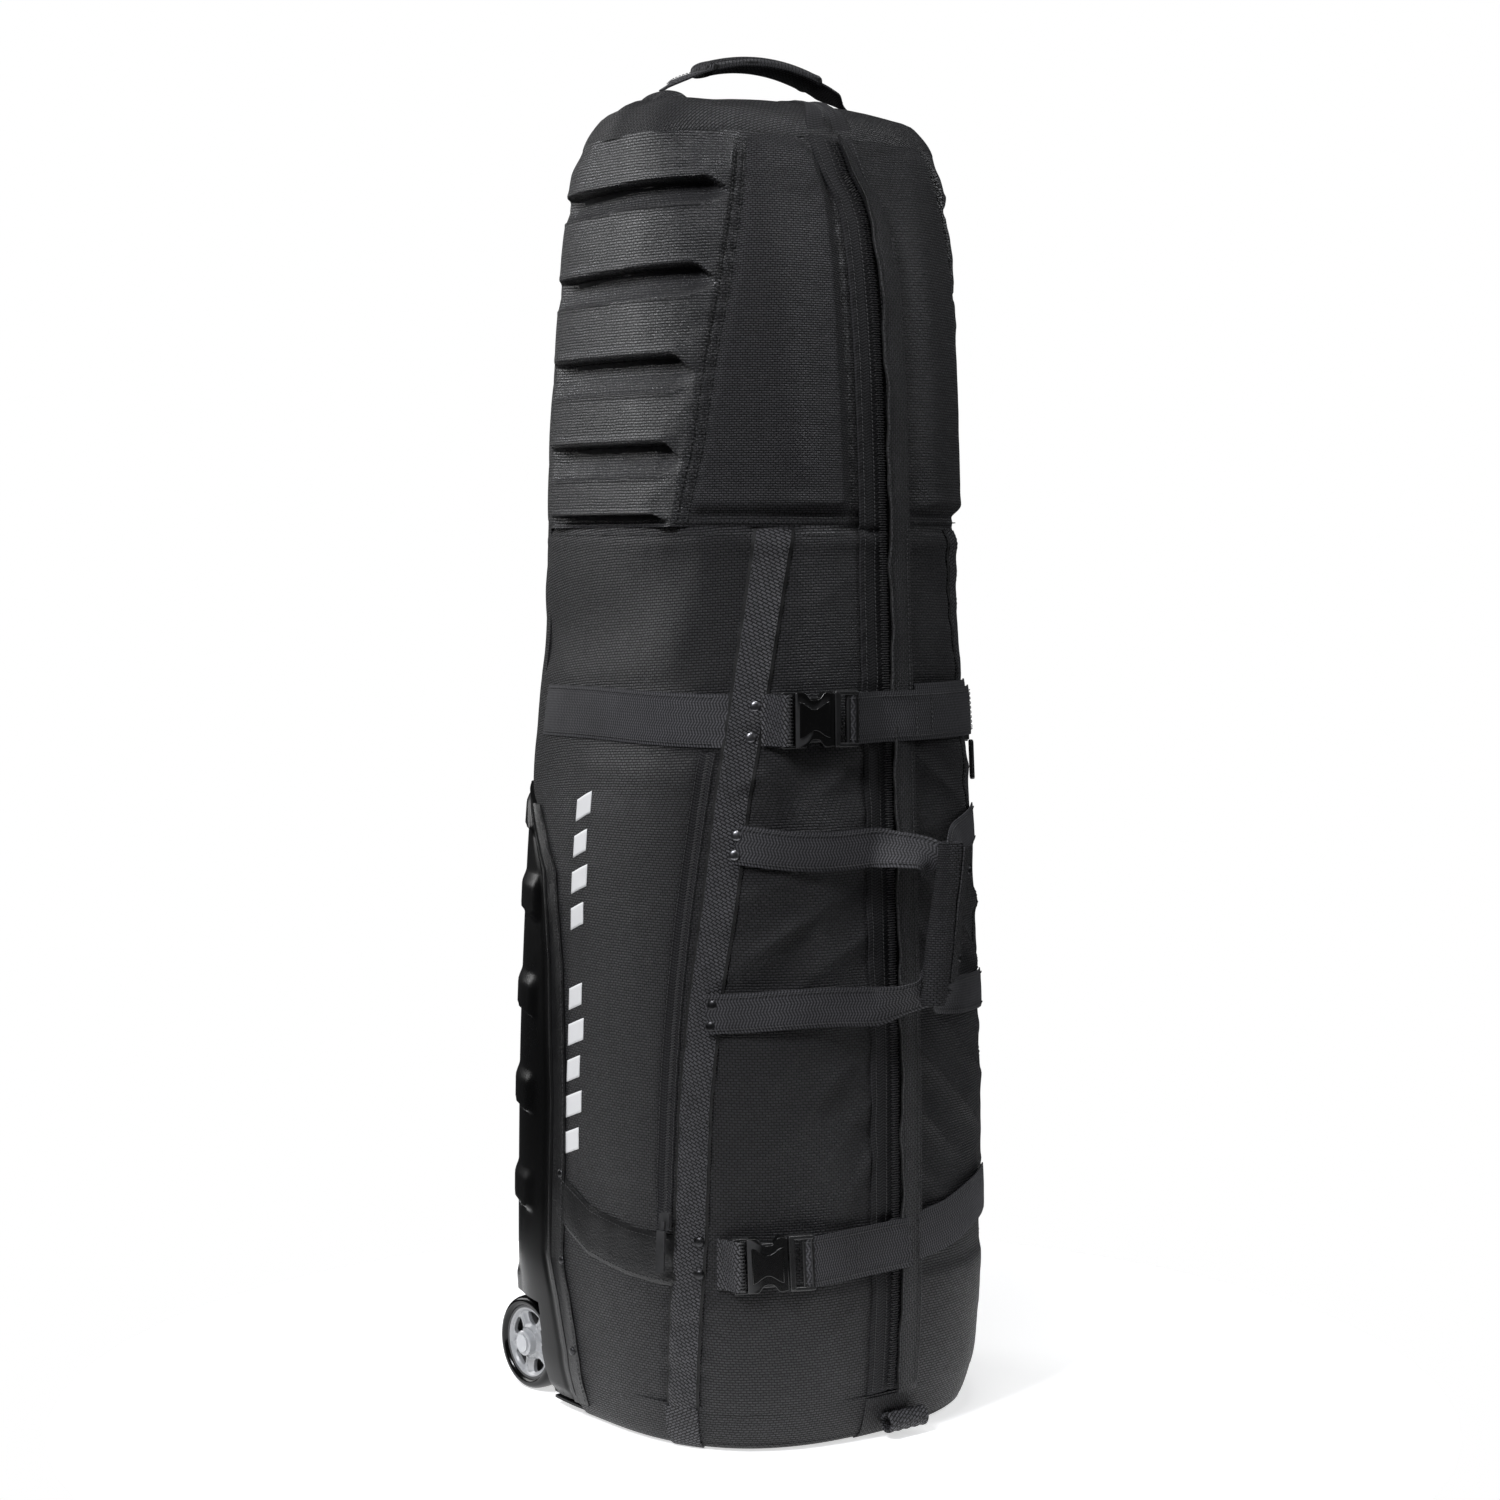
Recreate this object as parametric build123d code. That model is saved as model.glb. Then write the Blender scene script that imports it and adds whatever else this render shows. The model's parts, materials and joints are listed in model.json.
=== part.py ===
from build123d import *
import os
from math import atan2, cos, degrees, hypot, pi, radians, sin, sqrt

# Golf travel case: a tall padded fabric cover with a moulded shell and two wheels at the lower back.
# Millimetres. +Z up, the floor is z = 0, the front (main zip) faces -Y, the wheels are at +Y.

# ---- driving dimensions -------------------------------------------------
BODY_TOP = 1285.0          # top of the padded dome
WALL = 7.0                 # padded fabric wall
SHELL_T = 4.0              # moulded shell wall
SHELL_TOP = 620.0          # top edge of the moulded shell
MID_SEAM = 874.0           # seam between hood and lower body
FLAP_BOTTOM = 46.0         # lower end of the two front flaps
FLAP_TOP = 1236.0          # upper end of the two front flaps
HINGE_Y = -128.0           # plane of the two fold lines of the front flaps
HINGE_SLOPE = 0.05         # inward lean of the fold lines, mm per mm of height
HINGE_X0 = 188.0           # fold line's distance from the middle at z = 219
WEB = 50.0                 # wide webbing
WEB_S = 38.0               # haul handle webbing
WHEEL_R = 47.4
WHEEL_W = 26.0
WHEEL_X = 167.0            # middle of the wheel
WHEEL_Y = 146.0
AXLE_R = 4.0
AXLE_GAP = 0.06            # running clearance of the axle in its bearing, radial

Z = [0, 60, 150, 300, 521, 700, 786, 946, 1087, 1182, 1240, 1266, 1280, 1285]
HALF_W = [190, 204, 208, 206, 198, 184, 176, 176, 176, 174, 168, 157, 122, 50]
FRONT = [196, 212, 217, 216, 209, 202, 198, 193, 182, 163, 143, 122, 88, 38]
BACK = [188, 200, 206, 206, 204, 200, 198, 190, 164, 142, 126, 108, 78, 32]
N_FRONT = [2.6, 2.6, 2.6, 2.6, 2.6, 2.6, 2.6, 2.6, 2.6, 2.6, 2.6, 2.5, 2.3, 2.0]
N_BACK = [3.4, 3.4, 3.4, 3.4, 3.3, 3.2, 3.1, 3.0, 2.8, 2.7, 2.6, 2.5, 2.3, 2.0]

os.makedirs("parts", exist_ok=True)
NODES = {}


# ---- the body's outer surface -------------------------------------------
def lerp_table(xs, ys, x):
    x = min(max(x, xs[0]), xs[-1])
    for i in range(len(xs) - 1):
        if x <= xs[i + 1]:
            t = (x - xs[i]) / (xs[i + 1] - xs[i])
            return ys[i] + (ys[i + 1] - ys[i]) * t
    return ys[-1]


def pchip(ys, x):
    n = len(Z)
    h = [Z[i + 1] - Z[i] for i in range(n - 1)]
    d = [(ys[i + 1] - ys[i]) / h[i] for i in range(n - 1)]
    m = [0.0] * n
    for i in range(1, n - 1):
        if d[i - 1] * d[i] > 0:
            w1 = 2 * h[i] + h[i - 1]
            w2 = h[i] + 2 * h[i - 1]
            m[i] = (w1 + w2) / (w1 / d[i - 1] + w2 / d[i])
    m[0], m[-1] = d[0], d[-1]
    x = min(max(x, Z[0]), Z[-1])
    k = 0
    while k < n - 2 and x > Z[k + 1]:
        k += 1
    t = (x - Z[k]) / h[k]
    return (
        ys[k] * (1 + 2 * t) * (1 - t) ** 2
        + m[k] * h[k] * t * (1 - t) ** 2
        + ys[k + 1] * t * t * (3 - 2 * t)
        + m[k + 1] * h[k] * t * t * (t - 1)
    )


def surf(ph, z, off=0.0):
    """Point on the body: ph 0 is the front's middle, -90 the left side, 180 the back."""
    t = radians(ph)
    c, s = cos(t), sin(t)
    a = pchip(HALF_W, z)
    d = pchip(FRONT if c >= 0 else BACK, z)
    n = pchip(N_FRONT if c >= 0 else N_BACK, z)
    r = ((abs(s) / a) ** n + (abs(c) / d) ** n) ** (-1 / n) + off
    return Vector(r * s, -r * c, z)


def ph_at_y(y, z, side=-1):
    """Angle on the front-left (side -1) quarter where the surface reaches the plane y."""
    lo, hi = 2.0, 88.0
    for _ in range(40):
        mid = (lo + hi) / 2
        if surf(mid, z).Y < y:
            lo = mid
        else:
            hi = mid
    return side * (lo + hi) / 2


def ph_at_x(x, z):
    lo, hi = -80.0, 80.0
    for _ in range(40):
        mid = (lo + hi) / 2
        if surf(mid, z).X < x:
            lo = mid
        else:
            hi = mid
    return (lo + hi) / 2


def hinge_x(z):
    return HINGE_X0 - HINGE_SLOPE * (z - 219.0)


def poly(pts):
    return make_face(Polyline(*pts, close=True))


def levels(z0, z1, n):
    return [z0 + (z1 - z0) * i / (n - 1) for i in range(n)]


GRID = [60, 104, 150, 225, 300, 410, 521, 600, 660, 743, 786, 840, 874, 910, 946, 1010, 1050, 1087, 1130, 1160, 1182, 1212]


def heights(z0, z1):
    return [z0] + [z for z in GRID if z0 + 4 < z < z1 - 4] + [z1]


def patch(z0, z1, f0, f1, out, inn, nz=7, nph=7):
    """A curved wall between two heights and two angles, out and inn being offsets from the surface."""
    secs = []
    for z in heights(z0, z1):
        a, b = f0(z) if callable(f0) else f0, f1(z) if callable(f1) else f1
        o = out(z) if callable(out) else out
        i_ = inn(z) if callable(inn) else inn
        phs = levels(a, b, nph)
        secs.append(poly([surf(p, z, o) for p in phs] + [surf(p, z, i_) for p in reversed(phs)]))
    return loft(secs, ruled=True)


def strip(path, width, thick, updir=Vector(0, 0, 1)):
    """Flat webbing along a path of (point, normal): width along updir, thickness along the normal."""
    secs = []
    for i, (p, n) in enumerate(path):
        a = path[max(i - 1, 0)][0]
        b = path[min(i + 1, len(path) - 1)][0]
        t = (b - a).normalized()
        n = (n - t * n.dot(t)).normalized()
        u = t.cross(n).normalized()
        if u.dot(updir) < 0:
            u = u * -1
        w = width[i] if isinstance(width, (list, tuple)) else width
        secs.append(poly([p + u * (w / 2) + n * thick, p - u * (w / 2) + n * thick, p - u * (w / 2), p + u * (w / 2)]))
    return loft(secs, ruled=True)


def normal_at(ph, z):
    e = 0.5
    t = (surf(ph + e, z) - surf(ph - e, z)).normalized()
    v = (surf(ph, min(z + 2, BODY_TOP)) - surf(ph, z - 2)).normalized()
    n = t.cross(v).normalized()
    p = surf(ph, z)
    return n if n.X * p.X + n.Y * p.Y > 0 else n * -1


def mirrored(s):
    return mirror(s, about=Plane.YZ)


def add(name, *shapes):
    NODES[name] = shapes


def both(name, *shapes):
    add("left_" + name, *shapes)
    add("right_" + name, *[mirrored(s) for s in shapes])


def group(name, *shapes):
    add(name, *shapes, *[mirrored(s) for s in shapes])


def rivet(ph, z, off, r=5.0, h=2.6):
    p, n = surf(ph, z), normal_at(ph, z)
    return Plane(origin=p + n * off, z_dir=n) * extrude(Circle(r), amount=h)


# ---- angles that bound the panels ---------------------------------------
def side_front(z):          # front edge of the fixed side, just behind the fold line
    return ph_at_y(HINGE_Y + 4.0, z)


def flap_edge(z):           # outer edge of the front flap, just before the fold line
    return ph_at_y(HINGE_Y - 4.0, z)


def side_rear(z):          # rear edge of the fixed side
    return -lerp_table([12, 66, 118, 158, 314, 450, 537, 600, 640], [97.9, 98.2, 101.0, 104.4, 103.9, 107.1, 111.9, 124.5, 125], z)


def shell_edge(z):          # front edge of the moulded shell on the left
    return -lerp_table([12, 66, 118, 158, 314, 450, 537, 600, 620], [98.5, 98.8, 101.6, 105, 104.5, 107.7, 112.5, 126, 134], z)


# ---- fixed body ----------------------------------------------------------
both("side_panel", patch(44, MID_SEAM - 2, side_rear, side_front, -1, -1 - WALL, 9, 7))
both("hood_panel", patch(MID_SEAM + 2, FLAP_TOP, -125, side_front, -1, -1 - WALL, 6, 7))
add("rear_panel", patch(108, 612, 127.5, 232.5, -7, -7 - WALL, 6, 11))
add("rear_hood_panel", patch(626, FLAP_TOP, 125.6, 234.4, -1, -1 - WALL, 7, 11))


def dome(z0, drop, inset):
    secs = []
    for z in [z0, 1252, 1266, 1276, 1283]:
        secs.append(poly([surf(p, z, -inset) - Vector(0, 0, drop) for p in levels(-180, 168, 30)]))
    return loft(secs, ruled=True)


top = dome(1240, 0, 0) - dome(1238, 8, 8)
add("top_panel", top)

# base: a moulded tray with a flat floor, and a padded liner
tray_out = loft([poly([surf(p, z) if z else surf(p, 0, -6) for p in levels(-180, 168, 30)]) for z in (0, 12, 42)], ruled=True)
tray_in = loft([poly([surf(p, z, -5) for p in levels(-180, 168, 30)]) for z in (6, 50)], ruled=True)
tray = (tray_out - tray_in) & (Pos(0, -116, 30) * Box(500, 288, 100))
add("base_tray", tray)
add("base_pad", loft([poly([surf(p, z, -9) for p in levels(-92, 92, 17)] + [Vector(150, 20, z), Vector(-150, 20, z)]) for z in (6.5, 16.5)], ruled=True))
add("hood_padding", loft([poly([surf(p, 1236, -o) + Vector(0, 0, h) for p in levels(-170, 180, 12)]) for o, h in ((30, 2), (36, 14))], ruled=True))

# moulded shell: back and both rear corners, feet beside the wheels, and a bridge between them
shell = patch(104, SHELL_TOP, lambda z: 360 + shell_edge(z), lambda z: -shell_edge(z), 0, -SHELL_T, 9, 17)
shell += patch(12, 106, 148, 212, 0, -SHELL_T, 3, 5)
for s in (0, 1):
    foot = patch(12, 106, -113, shell_edge, 0, -SHELL_T, 4, 4)
    shell += mirrored(foot) if s else foot
for z in (582, 500, 402, 305, 208):     # raised steps across the back
    shell += patch(z - 5, z + 5, 141, 219, 3, -1, 2, 5)
shell += Pos(0, 111, 15) * Box(284, 158, 4)
add("hard_shell", shell)
group("shell_bindings", patch(44, 585, shell_edge, lambda z: shell_edge(z) + 5.5, 2.2, 0.2, 9, 3))

# wheel housings: an arch over each wheel and a plate on its inner side
arch = Pos(-168, WHEEL_Y, WHEEL_R) * (Rot(0, 90, 0) * Cylinder(55, 34)) - Pos(-168, WHEEL_Y, WHEEL_R) * (Rot(0, 90, 0) * Cylinder(51.5, 60))
arch -= Pos(-168, WHEEL_Y, WHEEL_R - 50) * Box(80, 140, 84)
arch -= Pos(-168, WHEEL_Y + 60, WHEEL_R) * Box(80, 60, 130)
plate = Pos(-147, WHEEL_Y - 6, 56) * Box(6, 90, 84)
plate += Pos(-151.5, WHEEL_Y - 20, 98.4) * Box(5, 60, 3.4)

# pocket panels on the lower sides, their zips, bands and rivets
both("pocket", patch(262, 640, lambda z: max(shell_edge(z) + 6.2, -112), lambda z: side_front(z) - 5.5, 2.2, 0, 7, 6))
group("pocket_zips", patch(215, 664, lambda z: side_front(z) - 4.6, lambda z: side_front(z) - 0.4, 2.4, 0, 7, 2))
group("upper_bands", patch(669, 719, -107, side_front, 1.6, 0, 3, 7))


def band_z(ph):             # the lower leather-look band dips towards the front
    return lerp_table([-104, -99, -87.8, -71.5, -58], [226, 214, 196, 187, 184], ph)


lower = loft(
    [
        poly([surf(p, band_z(p) + 24, 2.0), surf(p, band_z(p) - 24, 2.0), surf(p, band_z(p) - 24, 0.5), surf(p, band_z(p) + 24, 0.5)])
        for p in (-98.5, -92, -84, -76, -68, -61.5)
    ],
    ruled=True,
)
group("lower_bands", lower)
group("shell_rivets", *[rivet(-102, z, 2.2) for z in (243, 158)], rivet(-98.3, 70, 2.2))

# padded ribs of the hood, one solid each
RIBS = [(880, 931), (946, 1013), (1029, 1094), (1108, 1176), (1190, 1232)]
both("rib_pads", *[patch(a, b, -123, lambda z: min(side_front(z) - 1.5, -52), 10.5, 0.6, 3, 7) for a, b in RIBS])

# inner restraint straps against the back panel
add("inner_straps", *[patch(z - 19, z + 19, 152, 208, -21, -23, 2, 6) for z in (500, 900)])

# base loop at the lower front, a flattened roll of webbing
lp = Pos(18, -212, 22) * (Rot(0, 90, 0) * Cylinder(9, 46)) - Pos(18, -212, 22) * (Rot(0, 90, 0) * Cylinder(6.4, 60))
add("base_loop", lp)

# ---- front flaps ---------------------------------------------------------
both("front_panel", patch(FLAP_BOTTOM, FLAP_TOP, flap_edge, lambda z: ph_at_x(-2.5, z), -1, -1 - WALL, 11, 7))
both("front_pad", patch(886, 1230, flap_edge, lambda z: ph_at_x(-34, z), 7, 0, 6, 6))


def trim_l(z):
    t = lerp_table([30, 220, 338, 439, 521, 620, 670, 852], [-61, -58, -57, -54.5, -51.5, -48.5, -46.5, -39], z)
    return max(t, flap_edge(z) + 0.4)


def trim_r(z):
    return lerp_table([30, 220, 338, 439, 521, 620, 670, 852], [-52, -49, -48, -45.5, -42, -39, -36.5, -28], z)


both("trim_webbing", patch(50, 868, trim_l, trim_r, 1.6, 0, 9, 4))
add("main_zip_left", patch(50, 1232, lambda z: ph_at_x(-27, z), lambda z: ph_at_x(-1.2, z), 1.2, 0, 11, 3))
add("main_zip_right", patch(50, 1232, lambda z: ph_at_x(1.2, z), lambda z: ph_at_x(27, z), 1.2, 0, 11, 3))
add("weather_flap", patch(54, 1180, lambda z: ph_at_x(8, z), lambda z: ph_at_x(30, z), 3.4, 1.5, 9, 3))
add("front_rivets", *[rivet(ph, z, o) for ph, z, o in ((-42.4, 587, 6.6), (-42.9, 569, 6.6), (-48.0, 429, 6.6), (-48.4, 409, 6.6), (-51.3, 205, 1.8), (-51.3, 174, 1.8), (-37.9, 707, 1.8), (-39.1, 678, 1.8))])


# ---- buckles -------------------------------------------------------------
TABS = []


def buckle(tag, z, xa, xb, lift, rise):
    """Ladder tab and female half on the left flap, male half on the right flap's strap.
    xa, xb: where the tab starts and the male frame ends."""
    pa, pb = surf(ph_at_x(xa, z), z), surf(ph_at_x(xb, z + rise), z + rise)
    xd = (pb - pa).normalized()
    n = Vector(xd.Y, -xd.X, 0).normalized()
    if n.Y > 0:
        n = n * -1
    mid = (pa + pb) * 0.5
    bulge = max((surf(ph_at_x(x, z), z) - mid).dot(n) for x in levels(xa, xb, 9))
    o = mid + n * (bulge + lift)
    pl = Plane(origin=o, x_dir=xd, z_dir=n)
    half = (pb - pa).length / 2
    # female half: hollow body, open to +x, with side windows for the release prongs
    fx0, fx1 = -half + 27, -half + 66
    body = Pos((fx0 + fx1) / 2, 0, 0) * Box(fx1 - fx0, 53, 12)
    body = fillet(body.edges().filter_by(Axis.Z), 4)
    body = fillet(body.faces().filter_by(Axis.Z).edges(), 1.8)
    body -= Pos(fx1 - 10, 0, 0) * Box(24, 45, 8.4)
    for s in (-1, 1):
        body -= Pos(fx0 + 19, s * 26, 0) * Box(19, 13, 20)
    body -= Pos(fx0 + 3, 0, 0) * Box(10, 42, 3.2)
    # ladder bar that grips the short tab
    lad = Pos(fx0 - 7, 0, -0.5) * Box(9, 51, 8)
    for i in range(14):
        lad -= Pos(fx0 - 7, -22.75 + 3.5 * i, 3.8) * (Rot(0, 90, 0) * Box(2.4, 1.5, 12))
    for s in (-1, 1):
        lad += Pos(fx0 - 3, s * 24.4, -0.5) * Box(7.5, 3, 6)
    for k in (-1, 1):
        lad += Pos(fx0 + 0.5, k * 24.4 - k * 3, -0.5) * Box(3, 4, 6)
    add(tag + "_buckle_female", pl * (body + lad))
    tab = [(pl.from_local_coords(Vector(x, 0, zz)), n) for x, zz in ((-half + 0.5, -lift - bulge + 3.2), (-half + 6, -5), (fx0 - 12.2, -2.8))]
    TABS.append(strip(tab, WEB, 2.4))
    # male half: frame with a bar for the strap, and two sprung prongs
    mx0 = fx1 + 0.8
    fr = Pos(mx0 + 11.5, 0, 0) * Box(23, 53, 11)
    fr = fillet(fr.edges().filter_by(Axis.Z), 4)
    fr = fillet(fr.faces().filter_by(Axis.Z).edges(), 1.6)
    fr -= Pos(mx0 + 9.5, 0, 0) * Box(7, 43, 20)
    fr -= Pos(mx0 + 18.6, 0, 0) * Box(5, 43, 20)
    for s in (-1, 1):
        fr += Pos(mx0 - 3.2, s * 16, 0) * Box(7, 6, 3.6)
    add(tag + "_buckle_male", pl * fr)
    return pl, n, mx0, half


plU, nU, mU, hU = buckle("upper", 694, -126, -38, 9.0, 1)
plL, nL, mL, hL = buckle("lower", 186, -168, -88, 9.0, 4)
add("buckle_tabs", *TABS)


def surf_path(zf, x0, x1, n, off):
    out = []
    for x in levels(x0, x1, n):
        z = zf(x)
        ph = ph_at_x(x, z)
        out.append((surf(ph, z) + normal_at(ph, z) * off, normal_at(ph, z)))
    return out


def strap(tag, pl, n, m0, zf, xs, x_end):
    """Webbing from the male half's bar over the right flap to the fold line."""
    p0 = pl.from_local_coords(Vector(m0 + 24.2, 0, -1.2))
    path = [(p0, n)] + surf_path(zf, xs, x_end, 12, 6.4)
    add(tag + "_strap", strip(path, WEB, 2.4))


strap("upper", plU, nU, mU, lambda x: 695, -14, 146)
strap("lower", plL, nL, mL, lambda x: lerp_table([-80, 10, 69, 104, 160], [189, 192, 200, 210, 222], x), -62, 150)

# ---- haul handle: two webbing loops joined by a padded wrap ---------------
def haul(x0, x1, z0, z1, o0, o1, n=9):
    out = []
    for i in range(n):
        t = i / (n - 1)
        x = x0 + (x1 - x0) * t
        z = z0 + (z1 - z0) * t
        ph = ph_at_x(x, z)
        e = o0 + (o1 - o0) * sin(t * pi / 2)
        nn = normal_at(ph, z)
        out.append((surf(ph, z) + nn * e, nn))
    return out


GRIP_Y = -262.0
grip = loft([poly([Vector(18 + 0.14 * (z - 500) + r * 17 * cos(a), GRIP_Y + r * 15 * sin(a), z) for a in [2 * pi * k / 14 for k in range(14)]]) for z, r in ((424, 0.8), (432, 1.0), (500, 1.04), (572, 1.0), (580, 0.8))], ruled=True)
add("haul_grip", grip)
hl = [strip(haul(-146, -8, 578, 570, 3.0, 42), WEB_S, 2.2), strip(haul(-168, -14, 421, 436, 3.0, 42), WEB_S, 2.2)]
add("haul_strap_left", *hl)
hr = [strip(haul(148, 50, 578, 566, 3.0, 38), WEB_S, 2.2), strip(haul(160, 46, 421, 438, 3.0, 38), WEB_S, 2.2)]
add("haul_strap_right", *hr)

# ---- wheels ---------------------------------------------------------------
def ring(r0, r1, w, x):
    return Pos(x, WHEEL_Y, WHEEL_R) * (Rot(0, 90, 0) * (Cylinder(r1, w) - Cylinder(r0, w + 2)))


tyre = ring(37.0, WHEEL_R, WHEEL_W, -WHEEL_X)
tyre = fillet([e for e in tyre.edges().filter_by(GeomType.CIRCLE) if e.radius > 45], 7)
both("wheel_tyre", tyre)
hub = ring(30.5, 36.9, WHEEL_W - 2, -WHEEL_X) + ring(11.0, 15.5, WHEEL_W - 2, -WHEEL_X)
for k in range(3):
    spoke = Pos(0, 0, 23) * Box(9, 9, 18)
    hub += Pos(-WHEEL_X - 5, WHEEL_Y, WHEEL_R) * (Rot(120 * k - 38, 0, 0) * spoke)
hub += ring(15.0, 31.0, 3, -WHEEL_X + 4)
both("wheel_hub", hub)
both("wheel_bearing", *[ring(AXLE_R + AXLE_GAP, 10.95, 7, -WHEEL_X + s * 8) for s in (-1, 1)])
axle = Pos(-WHEEL_X + 7.5, WHEEL_Y, WHEEL_R) * (Rot(0, 90, 0) * Cylinder(AXLE_R, 45))
axle += Pos(-WHEEL_X - 16.2, WHEEL_Y, WHEEL_R) * (Rot(0, 90, 0) * Cylinder(9.0, 3.0))
plate_bore = Pos(-150, WHEEL_Y, WHEEL_R) * (Rot(0, 90, 0) * Cylinder(AXLE_R, 30))
group("wheel_axles", axle)
group("wheel_housings", plate - plate_bore, arch)

# ---- top handle -----------------------------------------------------------
TH_Y, TH_Z = -6.0, 1284.6
AX = 112.0
anch = []
for s in (-1, 1):
    anch.append(Pos(s * (AX + 3), TH_Y, 1284.3) * (Rot(0, s * 9, 0) * Box(28, 44, 3.0)))
add("top_handle_anchors", *anch)


def arc_pts(a, h, n):
    return [Vector(-a * cos(pi * i / (n - 1)), TH_Y, TH_Z + 3.6 + h * sin(pi * i / (n - 1)) ** 0.75) for i in range(n)]


def arch_strip(pts, widths, t):
    """Band along pts; each end narrows to the fold it turns on."""
    secs = []
    for i, p in enumerate(pts):
        width = widths[min(i, len(pts) - 1 - i, len(widths) - 1)]
        q = (pts[min(i + 1, len(pts) - 1)] - pts[max(i - 1, 0)]).normalized()
        n = Vector(-q.Z, 0, q.X)
        if n.Z < 0:
            n = n * -1
        w = Vector(0, width / 2, 0)
        secs.append(poly([p + w + n * (t / 2), p - w + n * (t / 2), p - w - n * (t / 2), p + w - n * (t / 2)]))
    return loft(secs, ruled=True)


pts = arc_pts(AX, 30, 17)
add("top_handle_webbing", arch_strip(pts, (3.6, 16.5, 26.5, 35), 3))
gp = [p + Vector(0, 0, 2.4) for p in pts[5:12]]
secs = []
for i, p in enumerate(gp):
    q = (gp[min(i + 1, 6)] - gp[max(i - 1, 0)]).normalized()
    n = Vector(-q.Z, 0, q.X)
    secs.append(poly([p + Vector(0, 15 * cos(a), 0) + n * (7.5 * sin(a) + 6.8) for a in [2 * pi * k / 12 for k in range(12)]]))
add("top_handle_grip", loft(secs, ruled=True))

# ---- sliders --------------------------------------------------------------
def pocket_slider(za, zb):
    """Slider parked at height za on the left zip, running towards zb, with its pull hanging down."""
    pa, pb = surf(side_front(za) - 2.5, za), surf(side_front(zb) - 2.5, zb)
    n0 = normal_at(side_front((za + zb) / 2) - 2.5, (za + zb) / 2)
    run = (pb - pa).normalized()
    n0 = (n0 - run * n0.dot(run)).normalized()
    up = run if run.Z > 0 else run * -1
    xs = up.cross(n0).normalized()
    lift = 8.6
    sl = Plane(origin=pa + n0 * lift, x_dir=xs, z_dir=n0)
    body = fillet(Box(11, 17, 4.5).edges().filter_by(Axis.Z), 3)
    body += Pos(0, -3, 3.4) * Box(3, 8, 3)
    pull = fillet((Pos(0, -27.6, 7.0) * Box(9, 40, 2.4)).edges().filter_by(Axis.Z), 3)
    print("slider at", sl.origin, "run", run, "pivot", sl.from_local_coords(Vector(0, -9, 7.0)), "x", xs, "length", (pb - pa).length)
    return sl * body, sl * pull


a, b = pocket_slider(223, 540)
add("pocket_slider_left", a)
add("pocket_pull_left", b)
a, b = pocket_slider(668, 330)
add("pocket_slider_right", mirrored(a))
add("pocket_pull_right", mirrored(b))


def top_z(y):
    """Height of the dome above the middle line."""
    lo, hi = 1240.0, 1284.9
    for _ in range(40):
        mid = (lo + hi) / 2
        r = abs(surf(0.0 if y < 0 else 180.0, mid).Y)
        if r > abs(y):
            lo = mid
        else:
            hi = mid
    return (lo + hi) / 2


zp = [(Vector(0, y, top_z(y) + 0.6), Vector(0, 0, 1)) for y in (-112, -96, -78, -58, -36, -12, 12, 36, 58, 78)]
add("top_zip", strip(zp, 30, 1.6, Vector(1, 0, 0)))
MS = Vector(0, 56, 1291.4)
ms = fillet(Box(13, 19, 5).edges().filter_by(Axis.Z), 3)
ms += Pos(0, 3, 3.8) * Box(3, 8, 3)
add("main_slider", Pos(MS) * ms)
mp = fillet((Pos(0, 22, 0) * Box(10, 36, 2.4)).edges().filter_by(Axis.Z), 3)
add("main_pull", Pos(MS + Vector(0, 2, 7.0)) * mp)
print("main pull pivot", MS + Vector(0, 6, 7.0))

for name, shapes in NODES.items():
    if shapes:
        s = shapes[0] if len(shapes) == 1 else Compound(children=list(shapes))
        export_step(s, "parts/%s.step" % name)
print(len(NODES), "nodes")
print("hinge bottom", hinge_x(0), "top", hinge_x(1240))
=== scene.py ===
import bpy, json, math
import numpy as np
from mathutils import Vector, Matrix

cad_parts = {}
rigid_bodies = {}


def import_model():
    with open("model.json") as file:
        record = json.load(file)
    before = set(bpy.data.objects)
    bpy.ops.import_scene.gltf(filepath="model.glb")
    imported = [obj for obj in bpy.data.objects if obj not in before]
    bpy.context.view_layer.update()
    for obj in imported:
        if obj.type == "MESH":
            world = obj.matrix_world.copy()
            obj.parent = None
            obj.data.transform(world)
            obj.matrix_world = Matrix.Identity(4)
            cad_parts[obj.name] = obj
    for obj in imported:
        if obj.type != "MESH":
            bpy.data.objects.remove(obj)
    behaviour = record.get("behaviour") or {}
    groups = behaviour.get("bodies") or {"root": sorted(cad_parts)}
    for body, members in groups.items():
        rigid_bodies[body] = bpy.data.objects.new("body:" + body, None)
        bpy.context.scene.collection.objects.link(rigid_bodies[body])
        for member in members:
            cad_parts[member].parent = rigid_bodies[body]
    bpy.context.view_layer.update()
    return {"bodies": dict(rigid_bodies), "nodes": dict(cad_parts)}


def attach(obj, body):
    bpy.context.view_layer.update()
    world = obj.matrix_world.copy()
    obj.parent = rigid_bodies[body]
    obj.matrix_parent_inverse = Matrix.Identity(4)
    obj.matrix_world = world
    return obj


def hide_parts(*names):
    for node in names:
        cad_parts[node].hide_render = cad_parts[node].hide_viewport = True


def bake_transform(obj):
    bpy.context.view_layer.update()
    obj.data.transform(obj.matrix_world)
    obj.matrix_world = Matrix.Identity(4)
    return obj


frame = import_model()
BODIES = frame["bodies"]
pi = math.pi

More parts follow.
